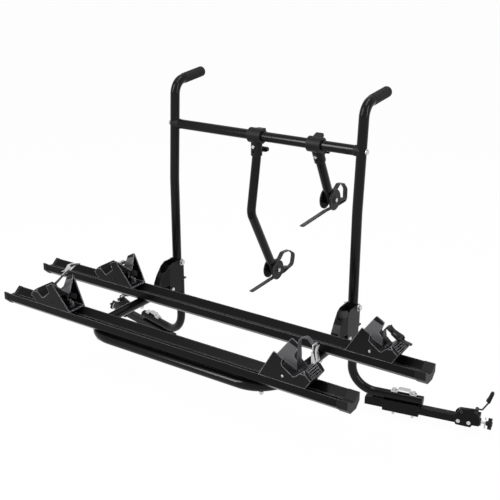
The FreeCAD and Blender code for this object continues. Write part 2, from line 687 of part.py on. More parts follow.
def make_clamp_bolts(label, side):
    """Two bolts that hold the housing on the bar, a rivet in the high cheek and the lever's pin."""
    level = f"-{BAR_LEVEL}"
    parts = []
    for along in ("FirstBolt", "SecondBolt"):
        one = bolt("BoltOd / 2", "2 * HousingHalf", "6.5", "4.5", "3")
        parts.append(locate(one, f"{side} * (PlateStart + {along})", f"-{side} * HousingHalf", level,
                            aim((0, -side, 0))))
    for along, up, deep in (("PlateStart + FirstPin", "PinAbove - 7", "PlateWall"),
                            ("LeverPin", "PinAbove", "HousingHalf + 8")):
        pin = fuse([rod("3", f"{deep} + 1.5", z="-1.5"), rod("4.5", "1.5", z="-1.5")])
        parts.append(locate(pin, f"{side} * ({along})", f"-{side} * HousingHalf", f"{level} + {up}",
                            aim((0, side, 0))))
    return keep(label, stand_on_leg(group(parts), side))


def make_clamp_lever(label, side, folded):
    """Bent rod lever with a hub on the outer pin and a moulded grip, folded inward by an angle."""
    body = new_body("Lever")

    def at(along, up, radius=None):
        point = (f"{side} * {along}", str(up))
        return point + (radius,) if radius else point

    hub = sketch_on(body, "XZ")
    circle(hub, *at(0, 0), "6")
    pad(body, hub, "16")
    bends = [at(0, 3.5), at(15, 3.5, "4"), at(31.5, 32, "6"), at(38, 54)]
    spine = draw(sketch_on(body, "XZ"), bends, closed=False)
    ring = sketch_on(body, "YZ")
    circle(ring, "0", at(0, 3.5)[1], "LeverRod / 2")
    pipe(body, ring, spine)
    paddle = [at(23, 37, "2"), at(33, 29.5, "2"), at(44.5, 62, "4"), at(42, 68, "3"), at(34, 67, "4")]
    grip = draw(sketch_on(body, "XZ"), paddle)
    pad(body, grip, "12")
    hole = sketch_on(body, "XZ")
    circle(hole, *at(0, 0), "3 + 0.1")
    pocket(body, hole)
    locate(body, f"{side} * LeverPin", "0", f"-{BAR_LEVEL} + PinAbove",
           FreeCAD.Rotation(V(0, 1, 0), -side * value(folded)))
    return keep(label, stand_on_leg(group([body]), side))


def make_clamp_screw(label, side):
    """The clamp's screw, with the washer that bears on the drawbar."""
    out = aim((side, 0, 0))
    level = f"-{BAR_LEVEL}"
    screw = fuse([
        rod("ScrewOd / 2", "KnobAt - BarEnd - 3", f"{side} * (BarEnd + 3)", "0", level, out),
        rod("WasherOd / 2", "WasherThick", f"{side} * WasherAt", "0", level, out),
    ])
    return keep(label, stand_on_leg(group([screw]), side))


def make_star_knob(label, side):
    """Lobed hand knob: a stem, a disc with scallops cut round its rim and a raised boss."""
    body = new_body("Knob")
    stem = sketch_on(body, "YZ")
    circle(stem, "0", "0", "KnobOd / 5")
    pad(body, stem, "KnobThick", both=False, reverse=side < 0)
    face = sketch_on(body, "YZ", f"{side} * KnobStem")
    circle(face, "0", "0", "KnobOd / 2")
    pad(body, face, "KnobThick - KnobStem - 2", both=False, reverse=side < 0)
    scallop = sketch_on(body, "YZ")
    circle(scallop, "KnobOd / 2 + 3", "0", "7.5")
    bite = pocket(body, scallop)
    pattern = body.newObject("PartDesign::PolarPattern", "Scallops")
    pattern.Originals = [bite]
    axis = next(f for f in body.Origin.OriginFeatures if f.Role == "X_Axis")
    pattern.Axis = (axis, [""])
    pattern.Angle = 360
    pattern.Occurrences = 6
    body.Tip = pattern
    locate(body, f"{side} * KnobAt", "0", f"-{BAR_LEVEL}")
    return keep(label, stand_on_leg(group([body]), side))


# Platform hoop and rails


def make_hoop():
    body = new_body("Hoop")
    spine = draw(sketch_on(body, "XY", "-HoopBelow"), [
        ("-UprightX", "-HoopRear"), ("-UprightX", "-HoopFront", "HoopBend"),
        ("UprightX", "-HoopFront", "HoopBend"), ("UprightX", "-HoopRear"),
    ], closed=False)
    ring = sketch_on(body, "XZ", "HoopRear")
    circle(ring, "-UprightX", "-HoopBelow", "TubeOd / 2")
    circle(ring, "-UprightX", "-HoopBelow", "TubeOd / 2 - TubeWall")
    pipe(body, ring, spine)
    ends = sketch_on(body, "YZ")
    circle(ends, "-HoopBoltBack", "-HoopBelow", "BoltOd / 2 + BoltFit")
    pocket(body, ends)
    holes = sketch_on(body, "XY", "-HoopBelow")
    for side in (-1, 1):
        circle(holes, f"{side} * FrontBoltX", "-FrontRailY", "BoltOd / 2 + BoltFit")
        circle(holes, f"{side} * UprightX", "-BackRailY", "BoltOd / 2 + BoltFit")
    pocket(body, holes, "TubeOd + 2")
    return keep("hoop", stand(body))


def rail_outline(grow="0"):
    """Outer section of a rail, from its left lip round underneath to its right lip."""
    half = f"(RailHalf + {grow})"
    base = f"(RailBase + {grow})"
    top = "-RailTop"
    floor = f"(-RailTop - RailDepth - {grow})"
    return half, base, top, floor


def make_rail(label, depth, left, right, bolt_x):
    """Extruded wheel rail: V-shaped trough over a T-slot, with a closed chamber on each side."""
    body = new_body("Rail")
    face = sketch_on(body, "YZ", f"({right} - {left}) / 2")
    half, base, top, floor = rail_outline()
    trough = "-RailTop - TroughDepth"
    roof = f"{trough} - RailWall"
    draw(face, [
        (f"-{half}", top), (f"-{half}", "-RailTop - 23", "3"), (f"-{base}", floor, "2"), (base, floor, "2"),
        (half, "-RailTop - 23", "3"), (half, top), (f"{half} - RailLip", top), ("TroughHalf", trough),
        ("SlotHalf", trough), ("SlotHalf", roof), ("ChamberHalf", roof),
        ("ChamberHalf", f"{floor} + RailWall"),
        ("-ChamberHalf", f"{floor} + RailWall"), ("-ChamberHalf", roof), ("-SlotHalf", roof),
        ("-SlotHalf", trough), ("-TroughHalf", trough), (f"-({half} - RailLip)", top),
    ])
    for hand in (-1, 1):
        draw(face, [
            (f"{hand} * (ChamberHalf + RailWall)", f"{trough} - RailWall - 1"),
            (f"{hand} * ({half} - RailWall)", "-RailTop - 7"),
            (f"{hand} * ({half} - RailWall)", "-RailTop - 22"),
            (f"{hand} * (ChamberHalf + RailWall + 3)", f"{floor} + RailWall"),
            (f"{hand} * (ChamberHalf + RailWall)", f"{floor} + RailWall"),
        ])
    pad(body, face, f"{left} + {right}")
    holes = sketch_on(body, "XY", floor)
    for side in (-1, 1):
        circle(holes, f"{side} * {bolt_x}", "0", "BoltOd / 2 + BoltFit")
    pocket(body, holes, "3 * RailWall")
    return keep(label, stand(body, "0", f"-{depth}"))


def make_rail_caps():
    """Moulded end caps that slip over the rail's ends: a sleeve with the trough in its top."""
    caps = []
    for depth, left, right in (("FrontRailY", "FrontLeft", "FrontRight"),
                               ("BackRailY", "BackLeft", "BackRight")):
        for side, reach, cap_length in ((-1, left, "RailCapShort"), (1, right, "RailCapLong")):
            body = new_body("RailCap")
            middle = f"{side} * ({reach} - ({cap_length}) / 2 + 2)"
            face = sketch_on(body, "YZ", middle)
            half, base, top, floor = rail_outline("RailCapProud")
            lip = f"({top} + RailCapProud)"
            trough = "-RailTop - TroughDepth"
            draw(face, [
                (f"-{half}", lip, "2"), (f"-{half}", "-RailTop - 23", "3"), (f"-{base}", floor, "2"),
                (base, floor, "2"), (half, "-RailTop - 23", "3"), (half, lip, "2"),
                (f"{half} - RailLip - 1", lip, "2"), ("TroughHalf", f"{trough} + 2"),
                ("-TroughHalf", f"{trough} + 2"),
                (f"-({half} - RailLip - 1)", lip, "2"),
            ])
            pad(body, face, f"{cap_length} + 4")
            inside = sketch_on(body, "YZ", f"{side} * ({reach} + 0.2)")
            half, base, top, floor = rail_outline("BoltFit")
            draw(inside, [
                (f"-{half}", f"{top} + BoltFit"), (f"-{half}", "-RailTop - 23", "3"),
                (f"-{base}", floor, "2"), (base, floor, "2"),
                (half, "-RailTop - 23", "3"), (half, f"{top} + BoltFit"),
                (f"{half} - RailLip - 0.3", f"{top} + BoltFit"), ("TroughHalf", f"{trough} + BoltFit"),
                ("-TroughHalf", f"{trough} + BoltFit"), (f"-({half} - RailLip - 0.3)", f"{top} + BoltFit"),
            ])
            pocket(body, inside, f"{cap_length} + 20", both=False, reverse=side < 0)
            caps.append(stand(body, "0", f"-{depth}"))
    return keep("rail_caps", group(caps))


def make_hoop_bolts():
    """Bolts of the platform: two hold the hoop's ends in the brackets, four hold the rails on the hoop."""
    bolts = []
    for side in (-1, 1):
        end = bolt("BoltOd / 2", "BracketWidth", "7", "5.5", "4")
        bolts.append(locate(end, f"{side} * UprightX + BracketWidth / 2", "-HoopBoltBack", "-HoopBelow",
                            aim((1, 0, 0))))
        for across, depth in (("FrontBoltX", "FrontRailY"), ("UprightX", "BackRailY")):
            seat = "-RailTop - RailDepth + RailWall"
            tee = bolt("BoltOd / 2", "RailWall + TubeOd + 0.1", "7", "5.5", "4")
            bolts.append(locate(tee, f"{side} * {across}", f"-{depth}", seat))
    return keep("hoop_bolts", stand(group(bolts)))


# Wheel chocks


def loft_out(body, side, reach, outline):
    """Cut a channel whose section sinks along the chock as the floor of the valley does."""
    sections = []
    for along in reach:
        section = sketch_on(body, "YZ", f"{side} * {along}")
        draw(section, outline(f"(ValleyHigh - ({along} + 10) / 122 * (ValleyHigh - ValleyLow))"))
        sections.append(section)
    channel = body.newObject("PartDesign::SubtractiveLoft", "Channel")
    channel.Profile = sections[0]
    channel.Sections = [sections[1]]
    return channel


def make_chock(label, side, start, depth):
    """Moulded wheel chock: a tall two-cheek wedge, a valley for the tyre and a slotted toe."""
    body = new_body("Chock")
    draw_side = sketch_on(body, "XZ")
    draw(draw_side, [
        ("0", "0", "1"), (f"{side} * 54", "ChockTall", "4"), (f"{side} * 80", "ChockTall - 14", "3"),
        (f"{side} * 74", "52", "4"), (f"{side} * 108", "25", "6"), (f"{side} * 124", "40", "3"),
        (f"{side} * ToeX", "ToeTop", "3"), (f"{side} * ToeEndX", "ToeEndZ", "3"),
        (f"{side} * 140", "0", "1"),
    ])
    pad(body, draw_side, "2 * ChockFlare")
    flare = sketch_on(body, "YZ")
    for hand in (-1, 1):
        draw(flare, [
            (f"{hand} * ChockFoot", "-1"), (f"{hand} * ChockFoot", "2"),
            (f"{hand} * ChockFlare", "ChockTall - 10"),
            (f"{hand} * ChockFlare", "ChockTall + 10"), (f"{hand} * (ChockFlare + 20)", "ChockTall + 10"),
            (f"{hand} * (ChockFlare + 20)", "-1"),
        ])
    pocket(body, flare)
    spread = "(ValleyFoot + ValleyTall / ValleyRise)"
    loft_out(body, side, (-10, 112), lambda low: [
        ("-ValleyFoot", low), ("ValleyFoot", low), (spread, f"{low} + ValleyTall"),
        (f"-{spread}", f"{low} + ValleyTall"),
    ])
    inside = "(ChockFoot - ChockWall)"
    flare_rise = "((ChockFlare - ChockFoot) / (ChockTall - 12))"
    web = "(ChockWall * sqrt(1 + ValleyRise ^ 2))"

    def under_valley(low):
        """Section of the hollow: between the cheeks' inner faces and the underside of the valley."""
        high = (f"((({low}) - {web} + ValleyRise * ({inside} - ValleyFoot - 2 * {flare_rise}))"
                f" / (1 - ValleyRise * {flare_rise}))")
        wide = f"({inside} + ({high} - 2) * {flare_rise})"
        return [(f"-{inside}", "ChockFloor"), (inside, "ChockFloor"), (wide, high),
                ("ValleyFoot - 1", f"{low} - {web}"), ("1 - ValleyFoot", f"{low} - {web}"),
                (f"-{wide}", high)]

    loft_out(body, side, (-10, 68), under_valley)
    hollow = sketch_on(body, "XZ")
    draw(hollow, [
        (f"{side} * 40", "ChockFloor"), (f"{side} * 40", "40"), (f"{side} * 96", "15", "4"),
        (f"{side} * 96", "ChockFloor", "2"),
    ])
    pocket(body, hollow, "2 * (ChockFoot - 6)")
    bevel = sketch_on(body, "YZ", f"{side} * 112")
    for hand in (-1, 1):
        draw(bevel, [
            (f"{hand} * (ChockFoot - 6)", "ToeTop + 4"), (f"{hand} * (ChockFlare + 3)", "ToeTop - 16"),
            (f"{hand} * (ChockFlare + 20)", "ToeTop - 16"), (f"{hand} * (ChockFlare + 20)", "ToeTop + 20"),
            (f"{hand} * (ChockFoot - 6)", "ToeTop + 20"),
        ])
    pocket(body, bevel, "60", both=False, reverse=side > 0)
    slope = math.degrees(math.atan2(value("ToeTop - ToeEndZ"), value("ToeEndX - ToeX")))
    slots = sketch_on(body, "XZ", "0", (f"{side} * ToeX", "ToeTop"), -side * slope)
    for number in range(4):
        ends = [f"{side} * {4.5 + 6.6 * number}", f"{side} * {8.0 + 6.6 * number}"]
        if side < 0:
            ends.reverse()
        draw(slots, box_points(*ends, "-14", "6"))
    pocket(body, slots, "2 * (ChockFoot - 9)")
    return keep(label, stand(body, f"{side} * {start}", f"-{depth}", "-RailTop + ChockRest"))


def make_band(label, side, start, depth, points):
    """A flat strap that follows its route beside the chock's wheel valley."""
    body = new_body("Band")
    bends = [(f"{side} * {point[0]}", *(str(number) for number in point[1:])) for point in points]
    spine = draw(sketch_on(body, "XZ"), bends, closed=False)
    across, low = points[0]
    face = sketch_on(body, "XY", str(low))
    middle = f"{side} * {across}"
    draw(face, box_points(f"{middle} - BandThick / 2", f"{middle} + BandThick / 2", "-BandWidth / 2",
                          "BandWidth / 2"))
    pipe(body, face, spine)
    return keep(label, stand(body, f"{side} * {start}", f"-{depth}", "-RailTop + ChockRest"))


def make_buckle(label, side, start, depth, route, run, share):
    """Ratchet buckle threaded on a straight run of its strap, a share of the way along it."""
    before, after = route[run][:2], route[run + 1][:2]
    across, up = (low + (high - low) * share for low, high in zip(before, after))
    turn = -math.degrees(math.atan2(after[1] - before[1], side * (after[0] - before[0])))
    body = new_body("Buckle")
    face = sketch_on(body, "XZ")
    draw(face, [("-16", "-6", "3"), ("16", "-6", "3"), ("18", "4", "3"), ("6", "9", "3"), ("-14", "6", "3")])
    pad(body, face, "BandWidth + 6")
    slot = sketch_on(body, "XZ")
    draw(slot, box_points("-24", "24", "-BandThick / 2 - BuckleFit", "BandThick / 2 + BuckleFit"))
    pocket(body, slot, "BandWidth + 1")
    locate(body, f"{side} * {across}", "0", str(up), FreeCAD.Rotation(V(0, 1, 0), turn))
    return keep(label, stand(group([body]), f"{side} * {start}", f"-{depth}", "-RailTop + ChockRest"))


# Frame-holder arms


def arm_frame(piece, across, tilt):
    """Stand a piece on the crossbar's axis, tilted about it."""
    return stand(piece, across, CROSSBAR_BACK, "CrossbarHeight", FreeCAD.Rotation(V(1, 0, 0), tilt))


def make_collar(label, across, tilt):
    """Moulded collar that turns on the crossbar, with a socket for the arm and a lug behind."""
    body = new_body("Collar")
    ring = sketch_on(body, "YZ")
    circle(ring, "0", "0", "CollarOd / 2")
    pad(body, ring, "CollarWidth")
    lug = draw(sketch_on(body, "YZ"), [("0", "6"), ("34", "6", "3"), ("34", "18", "3"), ("0", "22")])
    pad(body, lug, "CollarWidth * 0.5")
    socket = sketch_on(body, "XY", "-SocketDrop")
    circle(socket, "0", "0", "SocketOd / 2")
    pad(body, socket, "SocketDrop - TubeOd / 4", both=False)
    bore = sketch_on(body, "YZ")
    circle(bore, "0", "0", "TubeOd / 2 + CollarFit")
    pocket(body, bore)
    seat = sketch_on(body, "XY", "-ArmTop + 0.3")
    circle(seat, "0", "0", "ArmOd / 2 + ArmFit")
    pocket(body, seat, "SocketDrop", both=False)
    cross = sketch_on(body, "XZ")
    circle(cross, "0", "-ArmTop - 11", "3 + BoltFit")
    circle(cross, "0", "-ArmTop - 27", "4 + BoltFit")
    pocket(body, cross, "2 * SocketOd")
    return keep(label, arm_frame(body, across, tilt))


def make_collar_knob(label, across, tilt):
    """Wing knob behind the collar: its stem bears on the arm inside the socket."""
    body = new_body("WingKnob")
    stem = sketch_on(body, "XZ", "-ArmOd / 2 - 0.4")
    circle(stem, "0", "-ArmTop - 27", "4")
    pad(body, stem, "16", both=False, reverse=True)
    wing = sketch_on(body, "XZ", "-ArmOd / 2 - 14")
    draw(wing, box_points("-20", "20", "-ArmTop - 34", "-ArmTop - 20", "6"))
    pad(body, wing, "11", both=False, reverse=True)
    boss = sketch_on(body, "XZ", "-ArmOd / 2 - 8")
    circle(boss, "0", "-ArmTop - 27", "9")
    pad(body, boss, "10", both=False, reverse=True)
    return keep(label, arm_frame(body, across, tilt))


def make_arm(label, across, tilt, points, head_y, head_z):
    """Arm tube: it starts in the collar's socket and ends in a cross hole for the holder head."""
    body = new_body("Arm")
    spine = draw(sketch_on(body, "YZ"), points, closed=False)
    ring = sketch_on(body, "XY", "-ArmTop")
    circle(ring, "0", "0", "ArmOd / 2")
    circle(ring, "0", "0", "ArmOd / 2 - ArmWall")
    pipe(body, ring, spine)
    hole = sketch_on(body, "YZ")
    circle(hole, head_y, head_z, "HeadPin / 2 + BoltFit")
    pocket(body, hole)
    front = sketch_on(body, "XZ")
    circle(front, "0", "-ArmTop - 11", "3 + BoltFit")
    pocket(body, front, "2 * ArmOd")
    return keep(label, arm_frame(body, across, tilt))


def make_arm_bolts(label, across, tilt, head_y, head_z):
    """The bolt that holds the arm in its socket, and the hinge bolt of the head."""
    socket = bolt("3", "SocketOd + 0.2", "5.5", "4", "2")
    locate(socket, "0", "-SocketOd / 2 - 0.1", "-ArmTop - 11", aim((0, -1, 0)))
    hinge = bolt("HeadPin / 2", "HeadGap + 2 * DiscThick + 0.2", "7", "5", "2")
    locate(hinge, "HeadGap / 2 + DiscThick + 0.1", head_y, head_z, aim((1, 0, 0)))
    return keep(label, arm_frame(group([socket, hinge]), across, tilt))


def make_head(label, across, tilt, head_y, head_z):
    """Holder head: two discs joined behind the arm's end, with a lug for the ratchet lever."""
    turn = FreeCAD.Rotation(V(1, 0, 0), -tilt)
    body = new_body("Head")
    disc = sketch_on(body, "YZ")
    circle(disc, "0", "0", "HeadOd / 2")
    pad(body, disc, "HeadGap + 2 * DiscThick")
    lug = draw(sketch_on(body, "YZ"), [("20", "-24"), ("38", "-22", "5"), ("46", "-14", "7"),
                                       ("38", "-4", "5"), ("20", "6")])
    pad(body, lug, "HeadGap")
    gap = sketch_on(body, "YZ")
    circle(gap, "0", "0", "ArmOd / 2 + 4.6")
    pocket(body, gap, "HeadGap")
    front = draw(sketch_on(body, "YZ"), [("0", "0"), ("29", "43"), ("-45", "43"), ("-45", "-45"),
                                         ("45", "-45"), ("45", "-26"), ("22", "-26", "4")])
    pocket(body, front, "HeadGap")
    fork = draw(sketch_on(body, "YZ"), [("30", "-30"), ("60", "-30"), ("60", "20"), ("34", "20", "4")])
    pocket(body, fork, "HolderBand + 2")
    holes = sketch_on(body, "YZ")
    circle(holes, "0", "0", "HeadPin / 2 + 0.05")
    pocket(body, holes)
    pin_hole = sketch_on(body, "YZ")
    circle(pin_hole, "40", "-13", "2.5 + 0.05")
    pocket(body, pin_hole)
    locate(body, "0", head_y, head_z, turn)
    return keep(label, arm_frame(group([body]), across, tilt))


def make_ratchet_lever(label, across, tilt, head_y, head_z):
    """Release lever: a paddle on a cross pin in the head's lug."""
    body = new_body("RatchetLever")
    paddle = draw(sketch_on(body, "YZ"), [
        ("36", "-15", "2"), ("40", "-17", "2"), ("88", "-23", "2"), ("92", "-21", "1"), ("88", "-18", "2"),
        ("42", "-8.5", "3"), ("36", "-10", "2"),
    ])
    pad(body, paddle, "HolderBand + 1")
    pin = sketch_on(body, "YZ")
    circle(pin, "40", "-13", "2.5")
    pad(body, pin, "HeadGap")
    locate(body, "0", head_y, head_z, FreeCAD.Rotation(V(1, 0, 0), -tilt))
    return keep(label, arm_frame(group([body]), across, tilt))


def make_holder_strap(label, across, tilt, head_y, head_z, points):
    """Holder strap: it is anchored on the head, loops round the bike's frame and comes out in front."""
    body = new_body("HolderStrap")
    spine = draw(sketch_on(body, "YZ"), points, closed=False)
    face = sketch_on(body, "XZ", f"-({points[0][0]})")
    level = points[0][1]
    draw(face, box_points("-HolderBand / 2", "HolderBand / 2", f"{level} - HolderThick / 2",
                          f"{level} + HolderThick / 2"))
    pipe(body, face, spine)
    locate(body, "0", head_y, head_z, FreeCAD.Rotation(V(1, 0, 0), -tilt))
    return keep(label, arm_frame(group([body]), across, tilt))


def make_everything():
    for side, hand in ((-1, "left"), (1, "right")):
        make_upright(f"upright_{hand}", side)
        make_bracket(f"bracket_{hand}", side)
        make_leg(f"leg_{hand}", side)
        make_sleeve(f"sleeve_{hand}", side)
        make_bar(f"bar_{hand}", side)
        make_clamp_housing(f"clamp_housing_{hand}", side)
        make_clamp_bolts(f"clamp_bolts_{hand}", side)
        make_clamp_lever(f"clamp_lever_{hand}", side, "0" if side > 0 else "LeftLeverFold")
        make_clamp_screw(f"clamp_screw_{hand}", side)
        make_star_knob(f"star_knob_{hand}", side)
    make_grips()
    make_crossbar()
    make_saddles()
    make_crossbar_bolts()
    make_pivot_bolts()
    make_leg_caps()
    make_liners()
    make_saddle_straps()
    make_saddle_bolts()
    make_hoop()
    make_rail("rail_front", "FrontRailY", "FrontLeft", "FrontRight", "FrontBoltX")
    make_rail("rail_back", "BackRailY", "BackLeft", "BackRight", "UprightX")
    make_rail_caps()
    make_hoop_bolts()
    high_loop = [(103, 30.5), (103, 118, 12), (126, 129, 10), (147, 108, 12), (147, 60)]
    curled = [(103, 30.5), (99, 78, 8), (112, 84, 8), (150, 58, 20), (177, 53)]
    folded_back = [(103, 30.5), (103, 50, 14), (2, 147, 12), (-18, 151.5)]
    tucked = [(103, 30.5), (103, 46, 10), (60, 66, 20), (24, 66)]
    chocks = (
        ("front_right", 1, "FrontRightChock", "FrontRailY", high_loop, (3, 0.5)),
        ("back_right", 1, "BackRightChock", "BackRailY", curled, (2, 0.55)),
        ("front_left", -1, "FrontLeftChock", "FrontRailY", folded_back, (1, 0.8)),
        ("back_left", -1, "BackLeftChock", "BackRailY", tucked, (1, 0.5)),
    )
    for name, side, start, depth, route, buckle in chocks:
        make_chock(f"chock_{name}", side, start, depth)
        make_band(f"chock_strap_{name}", side, start, depth, route)
        make_buckle(f"chock_buckle_{name}", side, start, depth, route, *buckle)
    long_route = [("0", "-ArmTop"), ("0", "-SocketDrop - BendBelow", "80"), ("-30", "-238", "45"),
                  ("109.3", "-474.6")]
    short_route = [("0", "-ArmTop"), ("0", "-ShortArmLength - 10")]
    root = "sqrt((HeadOd / 2) ^ 2 - (24 - HolderThick / 2) ^ 2) + HolderRest"
    long_loop = [(root, "24"), ("33", "24", "7"), ("52", "41", "14"), ("92", "37", "22"),
                 ("124", "16", "16"), ("116", "-20", "14"), ("60", "-30", "30"), ("-21", "-30", "60"),
                 ("-130", "-34")]
    short_loop = [(root, "24"), ("33", "24", "7"), ("50", "36", "14"), ("76", "32", "16"),
                  ("98", "10", "14"), ("98", "-28", "12"), ("40", "-31", "30"), ("-30", "-30", "60"),
                  ("-166", "-40")]
    arms = (
        ("long", "LongArmX", 0.0, long_route, ("104.2", "-466.2"), long_loop),
        ("short", "ShortArmX", value("ShortArmTilt"), short_route, ("0", "-ShortArmLength"), short_loop),
    )
    for name, across, tilt, route, head, loop in arms:
        make_collar(f"collar_{name}", across, tilt)
        make_collar_knob(f"collar_knob_{name}", across, tilt)
        make_arm(f"arm_{name}", across, tilt, route, *head)
        make_arm_bolts(f"arm_bolts_{name}", across, tilt, *head)
        make_head(f"head_{name}", across, tilt, *head)
        make_ratchet_lever(f"ratchet_lever_{name}", across, tilt, *head)
        make_holder_strap(f"holder_strap_{name}", across, tilt, *head, loop)


def check_features():
    """Stop if any object failed, any cut removed nothing or any sub-part isn't a sound solid."""
    faults = []
    for thing in doc.Objects:
        if "Invalid" in thing.State or "Error" in thing.State:
            users = ", ".join(user.Label for user in thing.InList)
            faults.append(f"{thing.Name} ({thing.Label}) of {users} failed: {thing.getStatusString()}")
        elif (thing.TypeId in ("PartDesign::Pocket", "PartDesign::SubtractiveLoft")
              and not thing.Shape.isNull()):
            if thing.Shape.Volume >= thing.BaseFeature.Shape.Volume - 1.0:
                faults.append(f"{thing.Name} in {thing.getParentGeoFeatureGroup().Label} cuts nothing")
    for label, piece in nodes.items():
        if piece.Shape.isNull() or not piece.Shape.isValid() or piece.Shape.Volume <= 0:
            faults.append(f"{label} has no sound shape")
    if faults:
        raise RuntimeError("\n".join(faults))


make_everything()
doc.recompute()
check_features()
os.makedirs("parts", exist_ok=True)
for label, piece in nodes.items():
    piece.Shape.exportStep(f"parts/{label}.step")
print(f"{len(nodes)} sub-parts written")
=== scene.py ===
import json
import logging
import math
from dataclasses import dataclass, replace
from enum import Enum

import bmesh
import bpy
from mathutils import Matrix, Vector


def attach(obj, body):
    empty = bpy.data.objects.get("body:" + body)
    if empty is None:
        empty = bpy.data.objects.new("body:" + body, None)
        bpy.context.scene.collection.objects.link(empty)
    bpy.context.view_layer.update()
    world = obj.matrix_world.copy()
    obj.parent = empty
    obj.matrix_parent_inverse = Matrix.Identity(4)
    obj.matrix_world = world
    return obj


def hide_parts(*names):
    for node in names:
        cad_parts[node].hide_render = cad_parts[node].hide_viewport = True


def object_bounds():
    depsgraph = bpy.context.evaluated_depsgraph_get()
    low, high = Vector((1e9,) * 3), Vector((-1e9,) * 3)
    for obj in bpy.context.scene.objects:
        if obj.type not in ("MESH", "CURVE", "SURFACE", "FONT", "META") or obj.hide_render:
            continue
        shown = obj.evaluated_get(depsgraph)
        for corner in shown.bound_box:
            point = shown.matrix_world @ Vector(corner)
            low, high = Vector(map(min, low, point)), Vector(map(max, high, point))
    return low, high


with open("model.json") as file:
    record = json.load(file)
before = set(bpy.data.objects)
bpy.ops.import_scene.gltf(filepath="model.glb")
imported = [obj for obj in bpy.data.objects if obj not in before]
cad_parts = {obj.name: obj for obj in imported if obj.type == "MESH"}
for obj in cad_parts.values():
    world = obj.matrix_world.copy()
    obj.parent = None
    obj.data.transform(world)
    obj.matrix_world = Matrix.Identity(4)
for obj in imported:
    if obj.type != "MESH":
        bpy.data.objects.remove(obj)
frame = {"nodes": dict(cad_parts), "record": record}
CAD_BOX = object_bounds()

Pair = tuple[float, float]
Triple = tuple[float, float, float]
Outline = tuple[Pair, ...]
Route = tuple[tuple[float, ...], ...]
Socket = bpy.types.NodeSocket
Sockets = bpy.types.bpy_prop_collection
Tree = bpy.types.NodeTree

LOG = logging.getLogger("bike_carrier")
MM = 0.001
TO_METRES = Matrix.Diagonal((MM, MM, MM, 1.0))

# Places shared with the solids, in millimetres. The frame's pivot line is the reference: it lies in
# front of the drawbar seat's middle and above it, and the rails' middles lie in front of that line.
SEAT_BACK = 102.69
PIVOT_LEVEL = 309.4
UPRIGHT_X = 332.6
RAIL_AHEAD = {"front": 435.0, "back": 189.0}
TROUGH_DROP = 26.5
CHOCK_STARTS = {"front_right": 302.0, "back_right": 424.0, "front_left": 372.5, "back_left": 340.0}
HOLLOW_LENGTH = 34.0
BED_HALF_WIDTH = 34.4
BED_LEVEL = 297.0

# How fast an edge's painted highlight and wear sets in, how much of it shows, and how strongly a tyre
# bed's facing to the front paints light on it
EDGE_SHARPNESS = 5.0
EDGE_COVER = 1.3
LIT_BED_STRENGTH = 1.4

# The clamps' bolts above this level, in millimetres, are of blued steel
BLUED_ABOVE = 20.0


class Finish(Enum):
    """The finishes of the carrier, by the record's material slots."""

    TUBE = "tube_black"
    PLATE = "plate_black"
    ZINC = "zinc"
    LEVER = "lever_steel"
    RAIL = "rail_black"
    MOULDED = "moulded_black"
    GRIP = "grip_rubber"
    STRAP = "strap_black"
    BUCKLE = "buckle_silver"


def start_group(name: str, numbers: dict[str, float],
                results: dict[str, str]) -> tuple[Tree, Sockets, Sockets]:
    """Start a shader group that takes a Vector and some numbers.

    Args:
        name: Name of the group.
        numbers: The number inputs' default values, by name.
        results: The outputs' kinds of value, by name.

    Returns:
        The group's tree, the sockets that bring its inputs, and those that take its results.
    """
    group = bpy.data.node_groups.new(name, "ShaderNodeTree")
    group.interface.new_socket(name="Vector", in_out="INPUT", socket_type="NodeSocketVector")
    for key, value in numbers.items():
        socket = group.interface.new_socket(name=key, in_out="INPUT", socket_type="NodeSocketFloat")
        socket.default_value = value
    for key, kind in results.items():
        group.interface.new_socket(name=key, in_out="OUTPUT", socket_type=f"NodeSocket{kind}")
    start, end = group.nodes.new("NodeGroupInput"), group.nodes.new("NodeGroupOutput")
    return group, start.outputs, end.inputs


def fresh_tree(owner: bpy.types.Material | bpy.types.World,
               kind: str) -> tuple[Tree, bpy.types.Node]:
    """Empty the node tree of a material or a world.

    Args:
        owner: The material or world.
        kind: Blender's type of its output node.

    Returns:
        The tree, and the output node in it.
    """
    owner.use_nodes = True
    tree = owner.node_tree
    tree.nodes.clear()
    return tree, tree.nodes.new(kind)


def add_node(tree: Tree, kind: str, **values: float | tuple[float, ...]) -> bpy.types.Node:
    """Add a shader node and set its inputs.

    Args:
        tree: Node tree to add to.
        kind: Blender's type of the node, without "ShaderNode" in front.
        values: Values of its inputs, with _ for a space in a name.

    Returns:
        The node.
    """
    node = tree.nodes.new(f"ShaderNode{kind}")
    for name, value in values.items():
        node.inputs[name.replace("_", " ")].default_value = value
    return node


def split(tree: Tree, vector: Socket) -> Sockets:
    """Split a vector.

    Args:
        tree: Node tree to add to.
        vector: Socket with the vector.

    Returns:
        The sockets X, Y and Z.
    """
    node = add_node(tree, "SeparateXYZ")
    tree.links.new(vector, node.inputs[0])
    return node.outputs


def maths(tree: Tree, operation: str, first: Socket | float, second: Socket | float = 0.0,
          clamp: bool = False) -> Socket:
    """Add a maths node.

    Args:
        tree: Node tree to add to.
        operation: Blender's name of the operation.
        first: First operand, a socket or a number.
        second: Second operand, a socket or a number.
        clamp: Whether the result is kept between 0 and 1.

    Returns:
        The result's socket.
    """
    node = add_node(tree, "Math")
    node.operation = operation
    node.use_clamp = clamp
    for place, operand in enumerate((first, second)):
        if isinstance(operand, Socket):
            tree.links.new(operand, node.inputs[place])
        else:
            node.inputs[place].default_value = operand
    return node.outputs[0]


